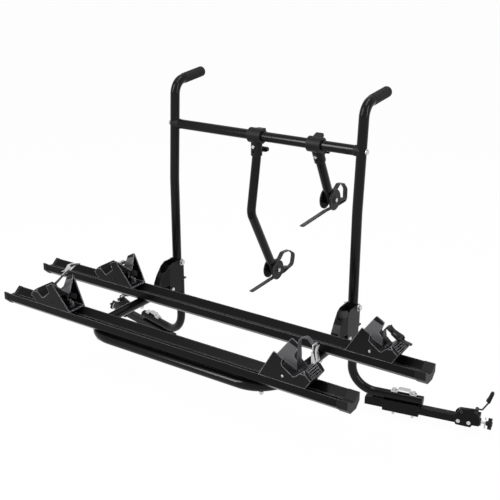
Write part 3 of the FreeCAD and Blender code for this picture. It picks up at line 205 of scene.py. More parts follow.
def noise(tree: Tree, place: Socket, scale: Socket, detail: float = 3.0) -> Socket:
    """Add a noise texture.

    Args:
        tree: Node tree to add to.
        place: Socket with the coordinates.
        scale: Socket with the noise cells for each metre.
        detail: Octaves of finer noise.

    Returns:
        The noise value's socket.
    """
    node = add_node(tree, "TexNoise", Detail=detail)
    tree.links.new(place, node.inputs["Vector"])
    tree.links.new(scale, node.inputs["Scale"])
    return node.outputs["Fac"]


def make_grain_group() -> None:
    """Build the surface grain: a bump height and a slow variation, from Vector, Grain and Patch."""
    group, given, result = start_group("SurfaceGrain", {"Grain": 900.0, "Patch": 9.0},
                                       {"Height": "Float", "Variation": "Float"})
    for scale, detail, name in (("Grain", 2.0, "Height"), ("Patch", 4.0, "Variation")):
        group.links.new(noise(group, given["Vector"], given[scale], detail), result[name])


def make_edge_group() -> None:
    """Build the edge finder: a mask of edges for painted highlight and wear, broken up by noise, and
    the rounded normal.
    """
    group, given, result = start_group("EdgeWearAndHighlight", {"Breakup": 60.0, "Radius": 0.9 * MM},
                                       {"Mask": "Float", "Normal": "Vector"})
    rounded = add_node(group, "Bevel")
    rounded.samples = 4
    group.links.new(given["Radius"], rounded.inputs["Radius"])
    flat = add_node(group, "NewGeometry")
    turned = add_node(group, "VectorMath")
    turned.operation = "DOT_PRODUCT"
    group.links.new(rounded.outputs["Normal"], turned.inputs[0])
    group.links.new(flat.outputs["Normal"], turned.inputs[1])
    edge = maths(group, "SUBTRACT", 1.0, turned.outputs["Value"], clamp=True)
    sharp = maths(group, "MULTIPLY", edge, EDGE_SHARPNESS, clamp=True)
    patches = noise(group, given["Vector"], given["Breakup"])
    broken = maths(group, "MULTIPLY", patches, EDGE_COVER, clamp=True)
    group.links.new(maths(group, "MULTIPLY", sharp, broken), result["Mask"])
    group.links.new(rounded.outputs["Normal"], result["Normal"])


def make_lit_bed_group() -> None:
    """Build the mask of painted light on a chock's tyre bed: the face between its cheeks that looks to
    the front is painted lighter, as if lit.
    """
    group, given, result = start_group("PaintedLitBeds", {"Start": 0.4}, {"Mask": "Float"})
    spot = split(group, given["Vector"])
    away = [maths(group, "ABSOLUTE", maths(group, "ADD", spot["Y"], (rail + SEAT_BACK) * MM))
            for rail in RAIL_AHEAD.values()]
    between = maths(group, "LESS_THAN", maths(group, "MINIMUM", *away), BED_HALF_WIDTH * MM)
    beyond = maths(group, "GREATER_THAN", maths(group, "ABSOLUTE", spot["X"]), given["Start"])
    above = maths(group, "GREATER_THAN", spot["Z"], BED_LEVEL * MM)
    inside = maths(group, "MULTIPLY", between, maths(group, "MULTIPLY", beyond, above))
    facing = split(group, add_node(group, "NewGeometry").outputs["Normal"])
    # Painted light: the more a bed face looks to the front, the lighter it is painted
    forward = maths(group, "MULTIPLY", facing["Y"], -LIT_BED_STRENGTH, clamp=True)
    group.links.new(maths(group, "MULTIPLY", inside, forward), result["Mask"])


@dataclass(frozen=True)
class SurfaceFinish:
    """One finish: its colours, gloss, grain, edge wear with painted edge highlight, and painted light
    on a tyre bed.
    """

    name: str
    colour: Triple
    patch_colour: Triple
    edge_highlight_and_wear_colour: Triple
    edge_highlight_and_wear: float
    roughness: Pair
    specular: float = 0.5
    metallic: float = 0.0
    grain: float = 900.0
    grain_depth: float = 0.02
    grain_stretch: Triple = (1.0, 1.0, 1.0)
    patch: float = 9.0
    edge_radius: float = 0.9
    # Lighter colour painted on tyre bed faces that look to the front, as painted light
    lit_bed_colour: Triple | None = None
    bed_start: float = 0.0
    dark_above: float | None = None

    def build(self) -> bpy.types.Material:
        """Make the material's node tree.

        Returns:
            The finished material.
        """
        material = bpy.data.materials.new(self.name)
        tree, output = fresh_tree(material, "ShaderNodeOutputMaterial")
        shader = add_node(tree, "BsdfPrincipled", Metallic=self.metallic,
                          Specular_IOR_Level=self.specular)
        tree.links.new(shader.outputs["BSDF"], output.inputs["Surface"])
        place = add_node(tree, "TexCoord").outputs["Object"]
        stretch = add_node(tree, "Mapping", Scale=self.grain_stretch)
        tree.links.new(place, stretch.inputs["Vector"])
        along = stretch.outputs["Vector"]
        grain = self.place_group(tree, "SurfaceGrain", along, Grain=self.grain, Patch=self.patch)
        edges = self.place_group(tree, "EdgeWearAndHighlight", along, Radius=self.edge_radius * MM)
        base = self.mix(tree, grain.outputs["Variation"], self.colour, self.patch_colour)
        # Painted light: tyre bed faces that look to the front take a lighter colour, as if lit
        if self.lit_bed_colour is not None:
            lit_beds = self.place_group(tree, "PaintedLitBeds", place, Start=self.bed_start * MM)
            base = self.mix(tree, lit_beds.outputs["Mask"], base, self.lit_bed_colour)
        if self.dark_above is not None:
            level = split(tree, place)["Z"]
            high = maths(tree, "GREATER_THAN", level, self.dark_above * MM)
            base = self.mix(tree, high, base, BLUED_STEEL)
        # Painted highlight with some wear: the edges take a lighter colour
        highlight_and_wear = maths(tree, "MULTIPLY", edges.outputs["Mask"], self.edge_highlight_and_wear)
        tree.links.new(self.mix(tree, highlight_and_wear, base, self.edge_highlight_and_wear_colour), shader.inputs["Base Color"])
        spread = self.roughness[1] - self.roughness[0]
        rough = maths(tree, "MULTIPLY", grain.outputs["Variation"], spread)
        tree.links.new(maths(tree, "ADD", rough, self.roughness[0]), shader.inputs["Roughness"])
        bump = add_node(tree, "Bump", Strength=1.0, Distance=self.grain_depth * MM)
        tree.links.new(grain.outputs["Height"], bump.inputs["Height"])
        tree.links.new(edges.outputs["Normal"], bump.inputs["Normal"])
        tree.links.new(bump.outputs["Normal"], shader.inputs["Normal"])
        return material

    @staticmethod
    def place_group(tree: Tree, name: str, place: Socket, **values: float) -> bpy.types.Node:
        """Put a shared group in the material.

        Args:
            tree: Node tree to add to.
            name: Name of the group.
            place: Socket with the coordinates.
            values: Numbers for the group's other inputs.

        Returns:
            The group's node.
        """
        node = add_node(tree, "Group")
        node.node_tree = bpy.data.node_groups[name]
        tree.links.new(place, node.inputs["Vector"])
        for key, value in values.items():
            node.inputs[key].default_value = value
        return node

    @staticmethod
    def mix(tree: Tree, share: Socket, first: Socket | Triple, second: Triple) -> Socket:
        """Mix two colours.

        Args:
            tree: Node tree to add to.
            share: Socket with the second colour's share.
            first: First colour, a socket or a value.
            second: Second colour.

        Returns:
            The mixed colour's socket.
        """
        node = add_node(tree, "Mix")
        node.data_type = "RGBA"
        tree.links.new(share, node.inputs["Factor"])
        if isinstance(first, Socket):
            tree.links.new(first, node.inputs["A"])
        else:
            node.inputs["A"].default_value = (*first, 1.0)
        node.inputs["B"].default_value = (*second, 1.0)
        return node.outputs["Result"]


def grey(level: float, blue: float = 1.05) -> Triple:
    """Give a grey that leans slightly to blue."""
    return (level, level, level * blue)


BLUED_STEEL = grey(0.035)
# Each finish gives its colour, its patch colour, then the lighter edge colour that paints a highlight
# with some wear, and that colour's share
FINISHES: dict[Finish, SurfaceFinish] = {
    Finish.TUBE: SurfaceFinish(
        "gloss_black_tube", grey(0.004), grey(0.0055), grey(0.05), 0.25, (0.12, 0.18),
        specular=0.15, grain=1400.0, grain_depth=0.006),
    Finish.PLATE: SurfaceFinish(
        "satin_black_plate", grey(0.004), grey(0.006), grey(0.14), 0.8, (0.24, 0.34),
        specular=0.10, grain=1600.0, grain_depth=0.012, edge_radius=1.6),
    Finish.ZINC: SurfaceFinish(
        "bright_zinc", grey(0.66, 1.02), grey(0.50, 1.04), grey(0.80), 0.5, (0.24, 0.40),
        metallic=1.0, grain=1200.0, grain_depth=0.008, patch=60.0),
    Finish.LEVER: SurfaceFinish(
        "dark_lever", grey(0.018), grey(0.026), grey(0.16), 0.5, (0.28, 0.42),
        specular=0.3, grain=1200.0, grain_depth=0.008, patch=60.0),
    Finish.RAIL: SurfaceFinish(
        "black_anodised_rail", grey(0.003), grey(0.004), grey(0.40), 1.0, (0.22, 0.32),
        specular=0.09, grain=900.0, grain_depth=0.010, grain_stretch=(0.02, 1.0, 1.0), edge_radius=1.5),
    Finish.MOULDED: SurfaceFinish(
        "black_moulding", grey(0.007), grey(0.010), grey(0.12), 0.7, (0.36, 0.48),
        specular=0.14, grain=1100.0, grain_depth=0.045, patch=20.0, edge_radius=1.8),
    Finish.GRIP: SurfaceFinish(
        "soft_grip", grey(0.008), grey(0.012), grey(0.04), 0.3, (0.55, 0.70),
        specular=0.18, grain=1500.0, grain_depth=0.05, patch=30.0),
    Finish.STRAP: SurfaceFinish(
        "strap_moulding", grey(0.045, 1.14), grey(0.060, 1.12), grey(0.30), 0.6, (0.30, 0.44),
        specular=0.40, grain=1300.0, grain_depth=0.03, patch=30.0),
    Finish.BUCKLE: SurfaceFinish(
        "satin_buckle", grey(0.62, 1.02), grey(0.50, 1.03), grey(0.8), 0.4, (0.22, 0.38),
        metallic=1.0, grain=1200.0, grain_depth=0.010, patch=60.0),
}
# The chocks' moulding carries painted light: a strong painted edge highlight with some wear, and a
# lighter painted lit face on each tyre bed
CHOCK_FINISH = SurfaceFinish(
    "chock_moulding_painted_light", grey(0.004), grey(0.006), grey(0.70), 1.0, (0.34, 0.46),
    specular=0.10, grain=1100.0, grain_depth=0.045, patch=20.0, edge_radius=3.0,
    lit_bed_colour=grey(0.10, 1.04))
BLUED_ZINC = replace(FINISHES[Finish.ZINC], name="zinc_and_blued_steel", dark_above=BLUED_ABOVE)
DARK_STRAP = replace(FINISHES[Finish.STRAP], name="dark_strap", colour=grey(0.012),
                     patch_colour=grey(0.018), edge_highlight_and_wear_colour=grey(0.12), specular=0.3)


def add_object(name: str, data: bpy.types.ID) -> bpy.types.Object:
    """Put an object into the scene.

    Args:
        name: Its name.
        data: Its mesh, camera or light.

    Returns:
        The object.
    """
    thing = bpy.data.objects.new(name, data)
    bpy.context.scene.collection.objects.link(thing)
    return thing


def turn_about(axis: str, degrees: float) -> Matrix:
    """Give a turn about an axis through the origin."""
    return Matrix.Rotation(math.radians(degrees), 4, axis)


def turned_to(heading: Vector) -> Matrix:
    """Give the turn about Y that takes the X axis to a heading in the X Z plane."""
    return Matrix.Rotation(-math.atan2(heading.z, heading.x), 4, "Y")


def spot_of(point: tuple[float, ...]) -> Vector:
    """Give the place of a route's point (x, z) or (x, z, corner radius)."""
    return Vector((point[0], 0.0, point[1]))


def shifted(outline: Outline, first: float, second: float) -> Outline:
    """Give an outline that is moved by as much in each of its two directions."""
    return tuple((one + first, other + second) for one, other in outline)


class Shape:
    """A mesh in the making, in millimetres: made from simple stock, placed and joined with others.

    The methods that change it give it back, so that they can follow one another.
    """

    sharp_from = math.radians(30.0)
    weld_within = 0.001

    def __init__(self) -> None:
        """Start an empty shape."""
        self.mesh = bmesh.new()

    @classmethod
    def plate(cls, outline: Outline, low: float, high: float, rounding: float) -> "Shape":
        """Make a flat outline in X and Z solid along Y.

        Args:
            outline: Corners (x, z) in order.
            low: Where the solid starts along Y.
            high: Where it ends.
            rounding: Radius of its edges, or 0 for sharp ones.

        Returns:
            The new shape.
        """
        shape = cls()
        corners = [shape.mesh.verts.new((x, low, z)) for x, z in outline]
        face = shape.mesh.faces.new(corners)
        made = bmesh.ops.extrude_face_region(shape.mesh, geom=[face])
        far = [item for item in made["geom"] if isinstance(item, bmesh.types.BMVert)]
        bmesh.ops.translate(shape.mesh, verts=far, vec=(0.0, high - low, 0.0))
        return shape.round_edges(rounding) if rounding else shape

    @classmethod
    def turned(cls, profile: Outline, steps: int) -> "Shape":
        """Turn a profile round Z.

        Args:
            profile: Points (radius, z) in order, on the axis at an end that is closed.
            steps: Flats round the axis.

        Returns:
            The new shape.
        """
        shape = cls()
        points = [shape.mesh.verts.new((radius, 0.0, z)) for radius, z in profile]
        edges = [shape.mesh.edges.new(pair) for pair in zip(points, points[1:])]
        bmesh.ops.spin(shape.mesh, geom=points + edges, cent=(0, 0, 0), axis=(0, 0, 1),
                       angle=math.tau, steps=steps, use_merge=True)
        return shape.weld()

    @classmethod
    def turned_at(cls, places: list[Matrix], profile: Outline, steps: int) -> "Shape":
        """Turn a profile and set copies of it.

        Args:
            places: Where each copy stands.
            profile: Points (radius, along) in order.
            steps: Flats round the axis.

        Returns:
            All copies as one shape.
        """
        copies = cls()
        for place in places:
            copies.join(cls.turned(profile, steps).place(place))
        return copies

    def round_edges(self, radius: float, segments: int = 2) -> "Shape":
        """Round every edge between faces that meet at a sharp angle.

        Args:
            radius: Radius of the rounding.
            segments: Flats round it.

        Returns:
            This shape.
        """
        bmesh.ops.recalc_face_normals(self.mesh, faces=self.mesh.faces)
        sharp = [edge for edge in self.mesh.edges if edge.calc_face_angle(0.0) > self.sharp_from]
        bmesh.ops.bevel(self.mesh, geom=sharp, offset=radius, segments=segments, affect="EDGES",
                        profile=0.5, material=-1, clamp_overlap=True)
        return self

    def weld(self) -> "Shape":
        """Merge the points that lie on one another, and give this shape back."""
        bmesh.ops.remove_doubles(self.mesh, verts=self.mesh.verts, dist=self.weld_within)
        return self

    def place(self, matrix: Matrix) -> "Shape":
        """Move the whole shape, and give it back."""
        bmesh.ops.transform(self.mesh, matrix=matrix, verts=self.mesh.verts)
        return self

    def join(self, other: "Shape") -> "Shape":
        """Take in another shape.

        Args:
            other: The shape to take in, used up here.

        Returns:
            This shape.
        """
        data = bpy.data.meshes.new("joined")
        other.mesh.to_mesh(data)
        other.mesh.free()
        self.mesh.from_mesh(data)
        bpy.data.meshes.remove(data)
        return self


@dataclass(frozen=True)
class FlatPart:
    """A flat part: its outline in X and Z, and the radius of its edges."""

    outline: Outline
    rounding: float = 0.0

    def across(self, half: float) -> Shape:
        """Make the part, reaching as far on either side of the middle."""
        return Shape.plate(self.outline, -half, half, self.rounding)

    def pair(self, inner: float, outer: float) -> Shape:
        """Make two of the part, each from an inner to an outer distance from the middle."""
        right = Shape.plate(self.outline, -outer, -inner, self.rounding)
        return right.join(Shape.plate(self.outline, inner, outer, self.rounding))

    def row(self, count: int, first: Pair, step: Pair, half: float) -> Shape:
        """Make a row of the part.

        Args:
            count: How many.
            first: Place (x, z) of the first one.
            step: The way (x, z) from one to the next.
            half: How far they reach on either side of the middle.

        Returns:
            The row as one shape.
        """
        row = Shape()
        for number in range(count):
            place = (start + number * way for start, way in zip(first, step))
            row.join(replace(self, outline=shifted(self.outline, *place)).across(half))
        return row


@dataclass(frozen=True)
class Leg:
    """A stretch of a route: a straight run, or a turn about a centre."""

    length: float
    heading: Vector
    centre: Vector | None = None
    turn: float = 0.0

    def motion(self, share: float) -> Matrix:
        """Give a move along the stretch.

        Args:
            share: How much of the stretch it covers.

        Returns:
            The move as a matrix.
        """
        if self.centre is None:
            return Matrix.Translation(self.heading * self.length * share)
        there = Matrix.Translation(self.centre)
        return there @ Matrix.Rotation(-self.turn * share, 4, "Y") @ there.inverted()


def route_legs(route: Route) -> list[Leg]:
    """Round a route's corners.

    Args:
        route: Points (x, z) at the ends and (x, z, corner radius) between them.

    Returns:
        The runs and turns in order.
    """
    spots = [spot_of(point) for point in route]
    ways = [(after - before).normalized() for before, after in zip(spots, spots[1:])]
    legs: list[Leg] = []
    start = spots[0]
    for corner, point, ahead, after in zip(spots[1:], route[1:], ways, ways[1:]):
        turn = math.atan2(ahead.x * after.z - ahead.z * after.x, ahead.dot(after))
        radius = point[2]
        cut = radius * math.tan(abs(turn) / 2.0)
        entry = corner - ahead * cut
        legs.append(Leg((entry - start).length, ahead))
        left = Vector((-ahead.z, 0.0, ahead.x)) * math.copysign(radius, turn)
        legs.append(Leg(radius * abs(turn), ahead, entry + left, turn))
        start = corner + after * cut
    return [*legs, Leg((spots[-1] - start).length, ways[-1])]


class Sweep:
    """Carries an end face along a route in the X Z plane, and leaves a closed skin behind it."""

    def __init__(self, section: Outline, route: Route) -> None:
        """Draw the section across the start of the route.

        Args:
            section: Corners (across, out) of the section: Y, and the way to the left of the route.
            route: Points (x, z) at the ends and (x, z, corner radius) between them.
        """
        self.shape = Shape()
        self.legs = route_legs(route)
        self.frame = Matrix.Translation(spot_of(route[0])) @ turned_to(self.legs[0].heading)
        mesh = self.shape.mesh
        corners = [mesh.verts.new(self.frame @ Vector((0.0, *corner))) for corner in section]
        self.face = mesh.faces.new(corners)
        mesh.faces.new([mesh.verts.new(corner.co) for corner in corners])

    def step(self, motion: Matrix) -> None:
        """Extrude the end face.

        Args:
            motion: The move from the old end face to the new one.
        """
        mesh = self.shape.mesh
        self.face = bmesh.ops.extrude_discrete_faces(mesh, faces=[self.face])["faces"][0]
        bmesh.ops.transform(mesh, matrix=motion, verts=self.face.verts)
        self.frame = motion @ self.frame

    def narrow(self, share: float) -> None:
        """Scale the end face across the route to a share of its width."""
        bmesh.ops.scale(self.shape.mesh, vec=(1.0, share, 1.0), space=self.frame.inverted(),
                        verts=self.face.verts)

    def set_height(self, above: float, height: float, hand: float) -> None:
        """Move the end face's outer corners to a height.

        Args:
            above: Level over which a corner counts as an outer one.
            height: Their new level.
            hand: 1 where the outer side is on the left of the route, or -1.
        """
        back = self.frame.inverted()
        for corner in self.face.verts:
            local = back @ corner.co
            if local.z * hand > above:
                corner.co = self.frame @ Vector((local.x, local.y, height * hand))

    def follow(self, turn_steps: int) -> Shape:
        """Carry the end face along the whole route.

        Args:
            turn_steps: Steps in each turn.

        Returns:
            The finished shape.
        """
        for leg in self.legs:
            count = 1 if leg.centre is None else turn_steps
            for _ in range(count):
                self.step(leg.motion(1.0 / count))
        return self.close()

    def close(self) -> Shape:
        """Weld the start cap on, and hand over the shape."""
        return self.shape.weld()


@dataclass(frozen=True)
class RibbedBand:
    """A moulded strap: flat below, cross ribs between two plain margins above, and a tapered tip."""

    width: float
    thick: float
    rib: float
    pitch: float
    margin: float
    taper: float = 1.0
    taper_span: Pair = (0.20, 0.45)
    plain: float = 8.0
    valley: float = 0.2
    rib_shares: tuple[float, ...] = (0.36, 0.5, 0.86, 1.0)
    tip_step: float = 1.2
    tip_shares: tuple[float, ...] = (0.94, 0.84, 0.62)

    def build(self, route: Route, flip: bool = False) -> Shape:
        """Lay the band along a route.

        Args:
            route: The route of its middle line.
            flip: Whether the ribs are on the right of the route.

        Returns:
            The band in the route's frame.
        """
        hand = -1.0 if flip else 1.0
        half, low, top = self.width / 2.0, -self.thick / 2.0, self.thick / 2.0 - self.rib
        inner, valley, ridge = half - self.margin, top + self.valley, top + self.rib
        section = ((-half, low), (half, low), (half, top), (inner, top), (inner, valley),
                   (-inner, valley), (-inner, top), (-half, top))
        sweep = Sweep(tuple((across, out * hand) for across, out in section), route)
        total = sum(leg.length for leg in sweep.legs)
        taper_start, taper_end = (share * total for share in self.taper_span)
        gone = 0.0
        for leg in sweep.legs:
            count = max(1, round(leg.length / self.pitch))
            pitch = leg.length / count
            for _ in range(count):
                done = 0.0
                for share, height in zip(self.rib_shares, (valley, ridge, ridge, valley)):
                    sweep.step(leg.motion((share - done) / count))
                    done = share
                    if self.plain < gone < total - self.plain:
                        sweep.set_height((top + valley) / 2.0, height, hand)
                gone += pitch
                if taper_start < gone < taper_end:
                    sweep.narrow(self.taper ** (pitch / (taper_end - taper_start)))
        for share in self.tip_shares:
            sweep.step(Matrix.Translation(sweep.legs[-1].heading * self.tip_step))
            sweep.narrow(share)
        return sweep.close()


class Workshop:
    """Builds the materials once and puts them on the pieces and the CAD nodes."""

    def __init__(self) -> None:
        """Make the shared groups and every finish."""
        make_grain_group()
        make_edge_group()
        make_lit_bed_group()
        self.materials = {finish: spec.build() for finish, spec in FINISHES.items()}
        self.dark_strap = DARK_STRAP.build()

    def dress(self, thing: bpy.types.Object, finish: Finish) -> None:
        """Put a finish on an object.

        Args:
            thing: Object with a mesh.
            finish: Finish to give it.
        """
        if not thing.data.materials:
            thing.data.materials.append(None)
        self.coat(thing, self.materials[finish])

    @staticmethod
    def coat(thing: bpy.types.Object, material: bpy.types.Material) -> None:
        """Put a material in every slot of an object."""
        for slot in thing.material_slots:
            slot.material = material

    def dress_frame(self) -> None:
        """Give every CAD node the finish of its slot in the record."""
        for entry in frame["record"]["subparts"]:
            self.dress(frame["nodes"][entry["node"]], Finish(entry["material_slot"]))
        blued = BLUED_ZINC.build()
        for hand in ("left", "right"):
            self.coat(frame["nodes"][f"clamp_bolts_{hand}"], blued)
        # Each chock gets its own moulding, with a painted lit face on its tyre bed
        for name, start in CHOCK_STARTS.items():
            bed_start = start + HOLLOW_LENGTH
            moulding = replace(CHOCK_FINISH, name=f"chock_moulding_painted_light_{name}", bed_start=bed_start)
            self.coat(frame["nodes"][f"chock_{name}"], moulding.build())

    def piece(self, name: str, shape: Shape, body: str, finish: Finish, place: Matrix,
              smooth: float = 35.0) -> bpy.types.Object:
        """Turn a shape into a finished piece that rides on a body.

        Args:
            name: Name of the piece.
            shape: Its geometry in millimetres, used up here.
            body: Body that carries it.
            finish: Its finish.
            place: Where the shape stands in the model, in millimetres.
            smooth: Largest angle between smoothed faces, in degrees.

        Returns:
            The new object.
        """
        mesh = shape.place(TO_METRES @ place).mesh
        bmesh.ops.recalc_face_normals(mesh, faces=mesh.faces)
        data = bpy.data.meshes.new(name)
        mesh.to_mesh(data)
        mesh.free()
        thing = add_object(name, data)
        data.shade_smooth()
        data.set_sharp_from_angle(angle=math.radians(smooth))
        self.dress(thing, finish)
        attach(thing, body)
        LOG.info("%s on %s", name, body)
        return thing


@dataclass
class Studio:
    """Pale floor, soft lamps and the camera of the photograph."""

    camera_place: Triple = (1.39484, -2.24397, 1.37119)
    azimuth: float = 33.76
    elevation: float = 20.45
    roll: float = 0.09
    focal_pixels: float = 869.6
    picture: float = 500.0
    sensor: float = 36.0
    far_clip: float = 200.0
    floor_drop: float = 0.004
    floor_reach: float = 90.0
    floor_grey: float = 0.92
    floor_whiteness: float = 0.97
    sky_colour: Triple = (0.95, 0.97, 1.0)
    sky_strength: float = 0.40
    lamps: tuple[tuple[str, Triple, float, Pair], ...] = (
        ("key", (-1.6, -3.0, 2.6), 95.0, (0.55, 2.6)),
        ("top", (0.3, -0.2, 3.6), 42.0, (2.4, 0.8)),
        ("side", (3.2, -0.4, 1.9), 46.0, (0.6, 2.4)),
    )

    def build(self) -> None:
        """Make the whole studio."""
        self.make_camera()
        self.make_floor()
        self.make_lamps()
        self.make_world()
        bpy.context.scene.view_settings.view_transform = "Standard"

    def make_camera(self) -> None:
        """Place the camera where the photograph was taken from."""
        data = bpy.data.cameras.new("camera")
        data.sensor_width = self.sensor
        data.lens = self.sensor * self.focal_pixels / self.picture
        data.clip_end = self.far_clip
        camera = add_object("camera", data)
        camera.location = self.camera_place
        aim = turn_about("Z", self.azimuth) @ turn_about("X", 90.0 - self.elevation)
        camera.rotation_euler = (aim @ turn_about("Z", self.roll)).to_euler()
        bpy.context.scene.camera = camera

    def make_floor(self) -> None:
        """Lay a pale floor just under the lowest bolt, white to the camera and to reflections."""
        mesh = bmesh.new()
        bmesh.ops.create_grid(mesh, x_segments=1, y_segments=1, size=self.floor_reach)
        bmesh.ops.translate(mesh, verts=mesh.verts, vec=(0, 0, CAD_BOX[0][2] - self.floor_drop))
        data = bpy.data.meshes.new("floor")
        mesh.to_mesh(data)
        mesh.free()
        floor = add_object("floor", data)
        floor.data.materials.append(self.floor_material())

    def floor_material(self) -> bpy.types.Material:
        """Mix a matt pale floor with plain white.

        Returns:
            The floor's material.
        """
        material = bpy.data.materials.new("pale_floor")
        tree, output = fresh_tree(material, "ShaderNodeOutputMaterial")
        matt = add_node(tree, "BsdfDiffuse", Color=(*grey(self.floor_grey, 1.0), 1.0))
        white = add_node(tree, "Emission", Strength=1.0)
        self.show_white(tree, output, (matt, white), self.floor_whiteness)
        return material

    @staticmethod
    def show_white(tree: Tree, output: bpy.types.Node,
                   shaders: tuple[bpy.types.Node, bpy.types.Node], share: float) -> None:
        """Light the object with one shader, and show the camera and reflections another.

        Args:
            tree: Node tree of the floor or the sky.
            output: Its output node.
            shaders: The shader that lights the object, and the white one.
            share: Share of the white one for camera, glossy and transmission rays.
        """
        rays = add_node(tree, "LightPath").outputs
        either = maths(tree, "MAXIMUM", rays["Is Camera Ray"], rays["Is Glossy Ray"])
        seen = maths(tree, "MAXIMUM", either, rays["Is Transmission Ray"])
        blend = add_node(tree, "MixShader")
        tree.links.new(maths(tree, "MULTIPLY", seen, share), blend.inputs["Fac"])
        for place, shader in enumerate(shaders, start=1):
            tree.links.new(shader.outputs[0], blend.inputs[place])
        tree.links.new(blend.outputs["Shader"], output.inputs["Surface"])

    def make_lamps(self) -> None:
        """Hang the soft area lamps, each aimed at the middle of the carrier."""
        middle = (Vector(CAD_BOX[0]) + Vector(CAD_BOX[1])) / 2
        for name, place, power, size in self.lamps:
            data = bpy.data.lights.new(name, "AREA")
            data.shape = "RECTANGLE"
            data.energy = power
            data.size, data.size_y = size
            lamp = add_object(name, data)
            lamp.location = place
            lamp.rotation_euler = (middle - lamp.location).to_track_quat("-Z", "Y").to_euler()

    def make_world(self) -> None:
        """Light the object from a soft grey sky that the camera and reflections see as white."""
        world = bpy.data.worlds.new("studio")
        bpy.context.scene.world = world
        tree, output = fresh_tree(world, "ShaderNodeOutputWorld")
        sky = add_node(tree, "Background", Color=(*self.sky_colour, 1.0), Strength=self.sky_strength)
        white = add_node(tree, "Background", Strength=1.0)
        self.show_white(tree, output, (sky, white), share=1.0)


@dataclass(frozen=True)
class Buckle:
    """A strap's ratchet buckle: X along the strap, Z out of it, measured from the strap's middle."""

    strap_half: float
    floor: FlatPart = FlatPart(((-11, -3.6), (21, -3.6), (21, -2.4), (-11, -2.4)), 0.4)
    lever: FlatPart = FlatPart(
        ((17.5, 8.4), (14, 10), (2, 8.6), (-8, 6.4), (-19, 6.6), (-27, 9.8), (-28, 8), (-19, 4.4),
         (-8, 4), (2, 5.6), (14, 4.8)), 0.7)
    cheek: FlatPart = FlatPart(
        ((-8, -3.4), (20, -3.4), (24, 1), (22, 7), (15, 9), (5, 6.4), (-8, 3.6), (-11, 0)), 0.5)
    loop: FlatPart = FlatPart(((-29, -2), (-8, -1.4), (-8, 1.4), (-29, 1.4)), 0.8)
    bridge: FlatPart = FlatPart(((-31.4, -2.2), (-28, -2.2), (-28, 1.6), (-31.4, 1.6)), 0.9)
    pawl: FlatPart = FlatPart(((-8, 1.6), (4, 1.4), (8, 4.2), (4, 5.2), (-7, 5)), 0.6)
    pin_place: Triple = (16.0, 0.0, 5.4)
    pin_end: Outline = ((2.8, 1.9), (2.2, 2.6), (0, 2.6))
    cheek_thick: float = 1.6
    wire_wide: float = 2.4
    inside_strap: float = 0.4
    lever_inside: float = 3.0

    def make_frame(self) -> Shape:
        """Fold the buckle: two cheeks, a floor, a cross pin, a hinged lever and a wire loop.

        Returns:
            The buckle without its pawl.
        """
        wide = self.strap_half - self.inside_strap
        folded = self.floor.across(wide)
        folded.join(self.lever.across(wide - self.lever_inside))
        end = shifted(self.pin_end, 0.0, wide)
        pin = Shape.turned((*((out, -along) for out, along in reversed(end)), *end), steps=16)
        folded.join(pin.place(Matrix.Translation(self.pin_place) @ turn_about("X", 90.0)))
        folded.join(self.cheek.pair(wide, wide + self.cheek_thick))
        folded.join(self.loop.pair(wide - self.wire_wide, wide))
        return folded.join(self.bridge.across(wide))

    def make_pawl(self) -> Shape:
        """Mould the dark spring pawl under the lever."""
        return self.pawl.across(self.strap_half - self.lever_inside)


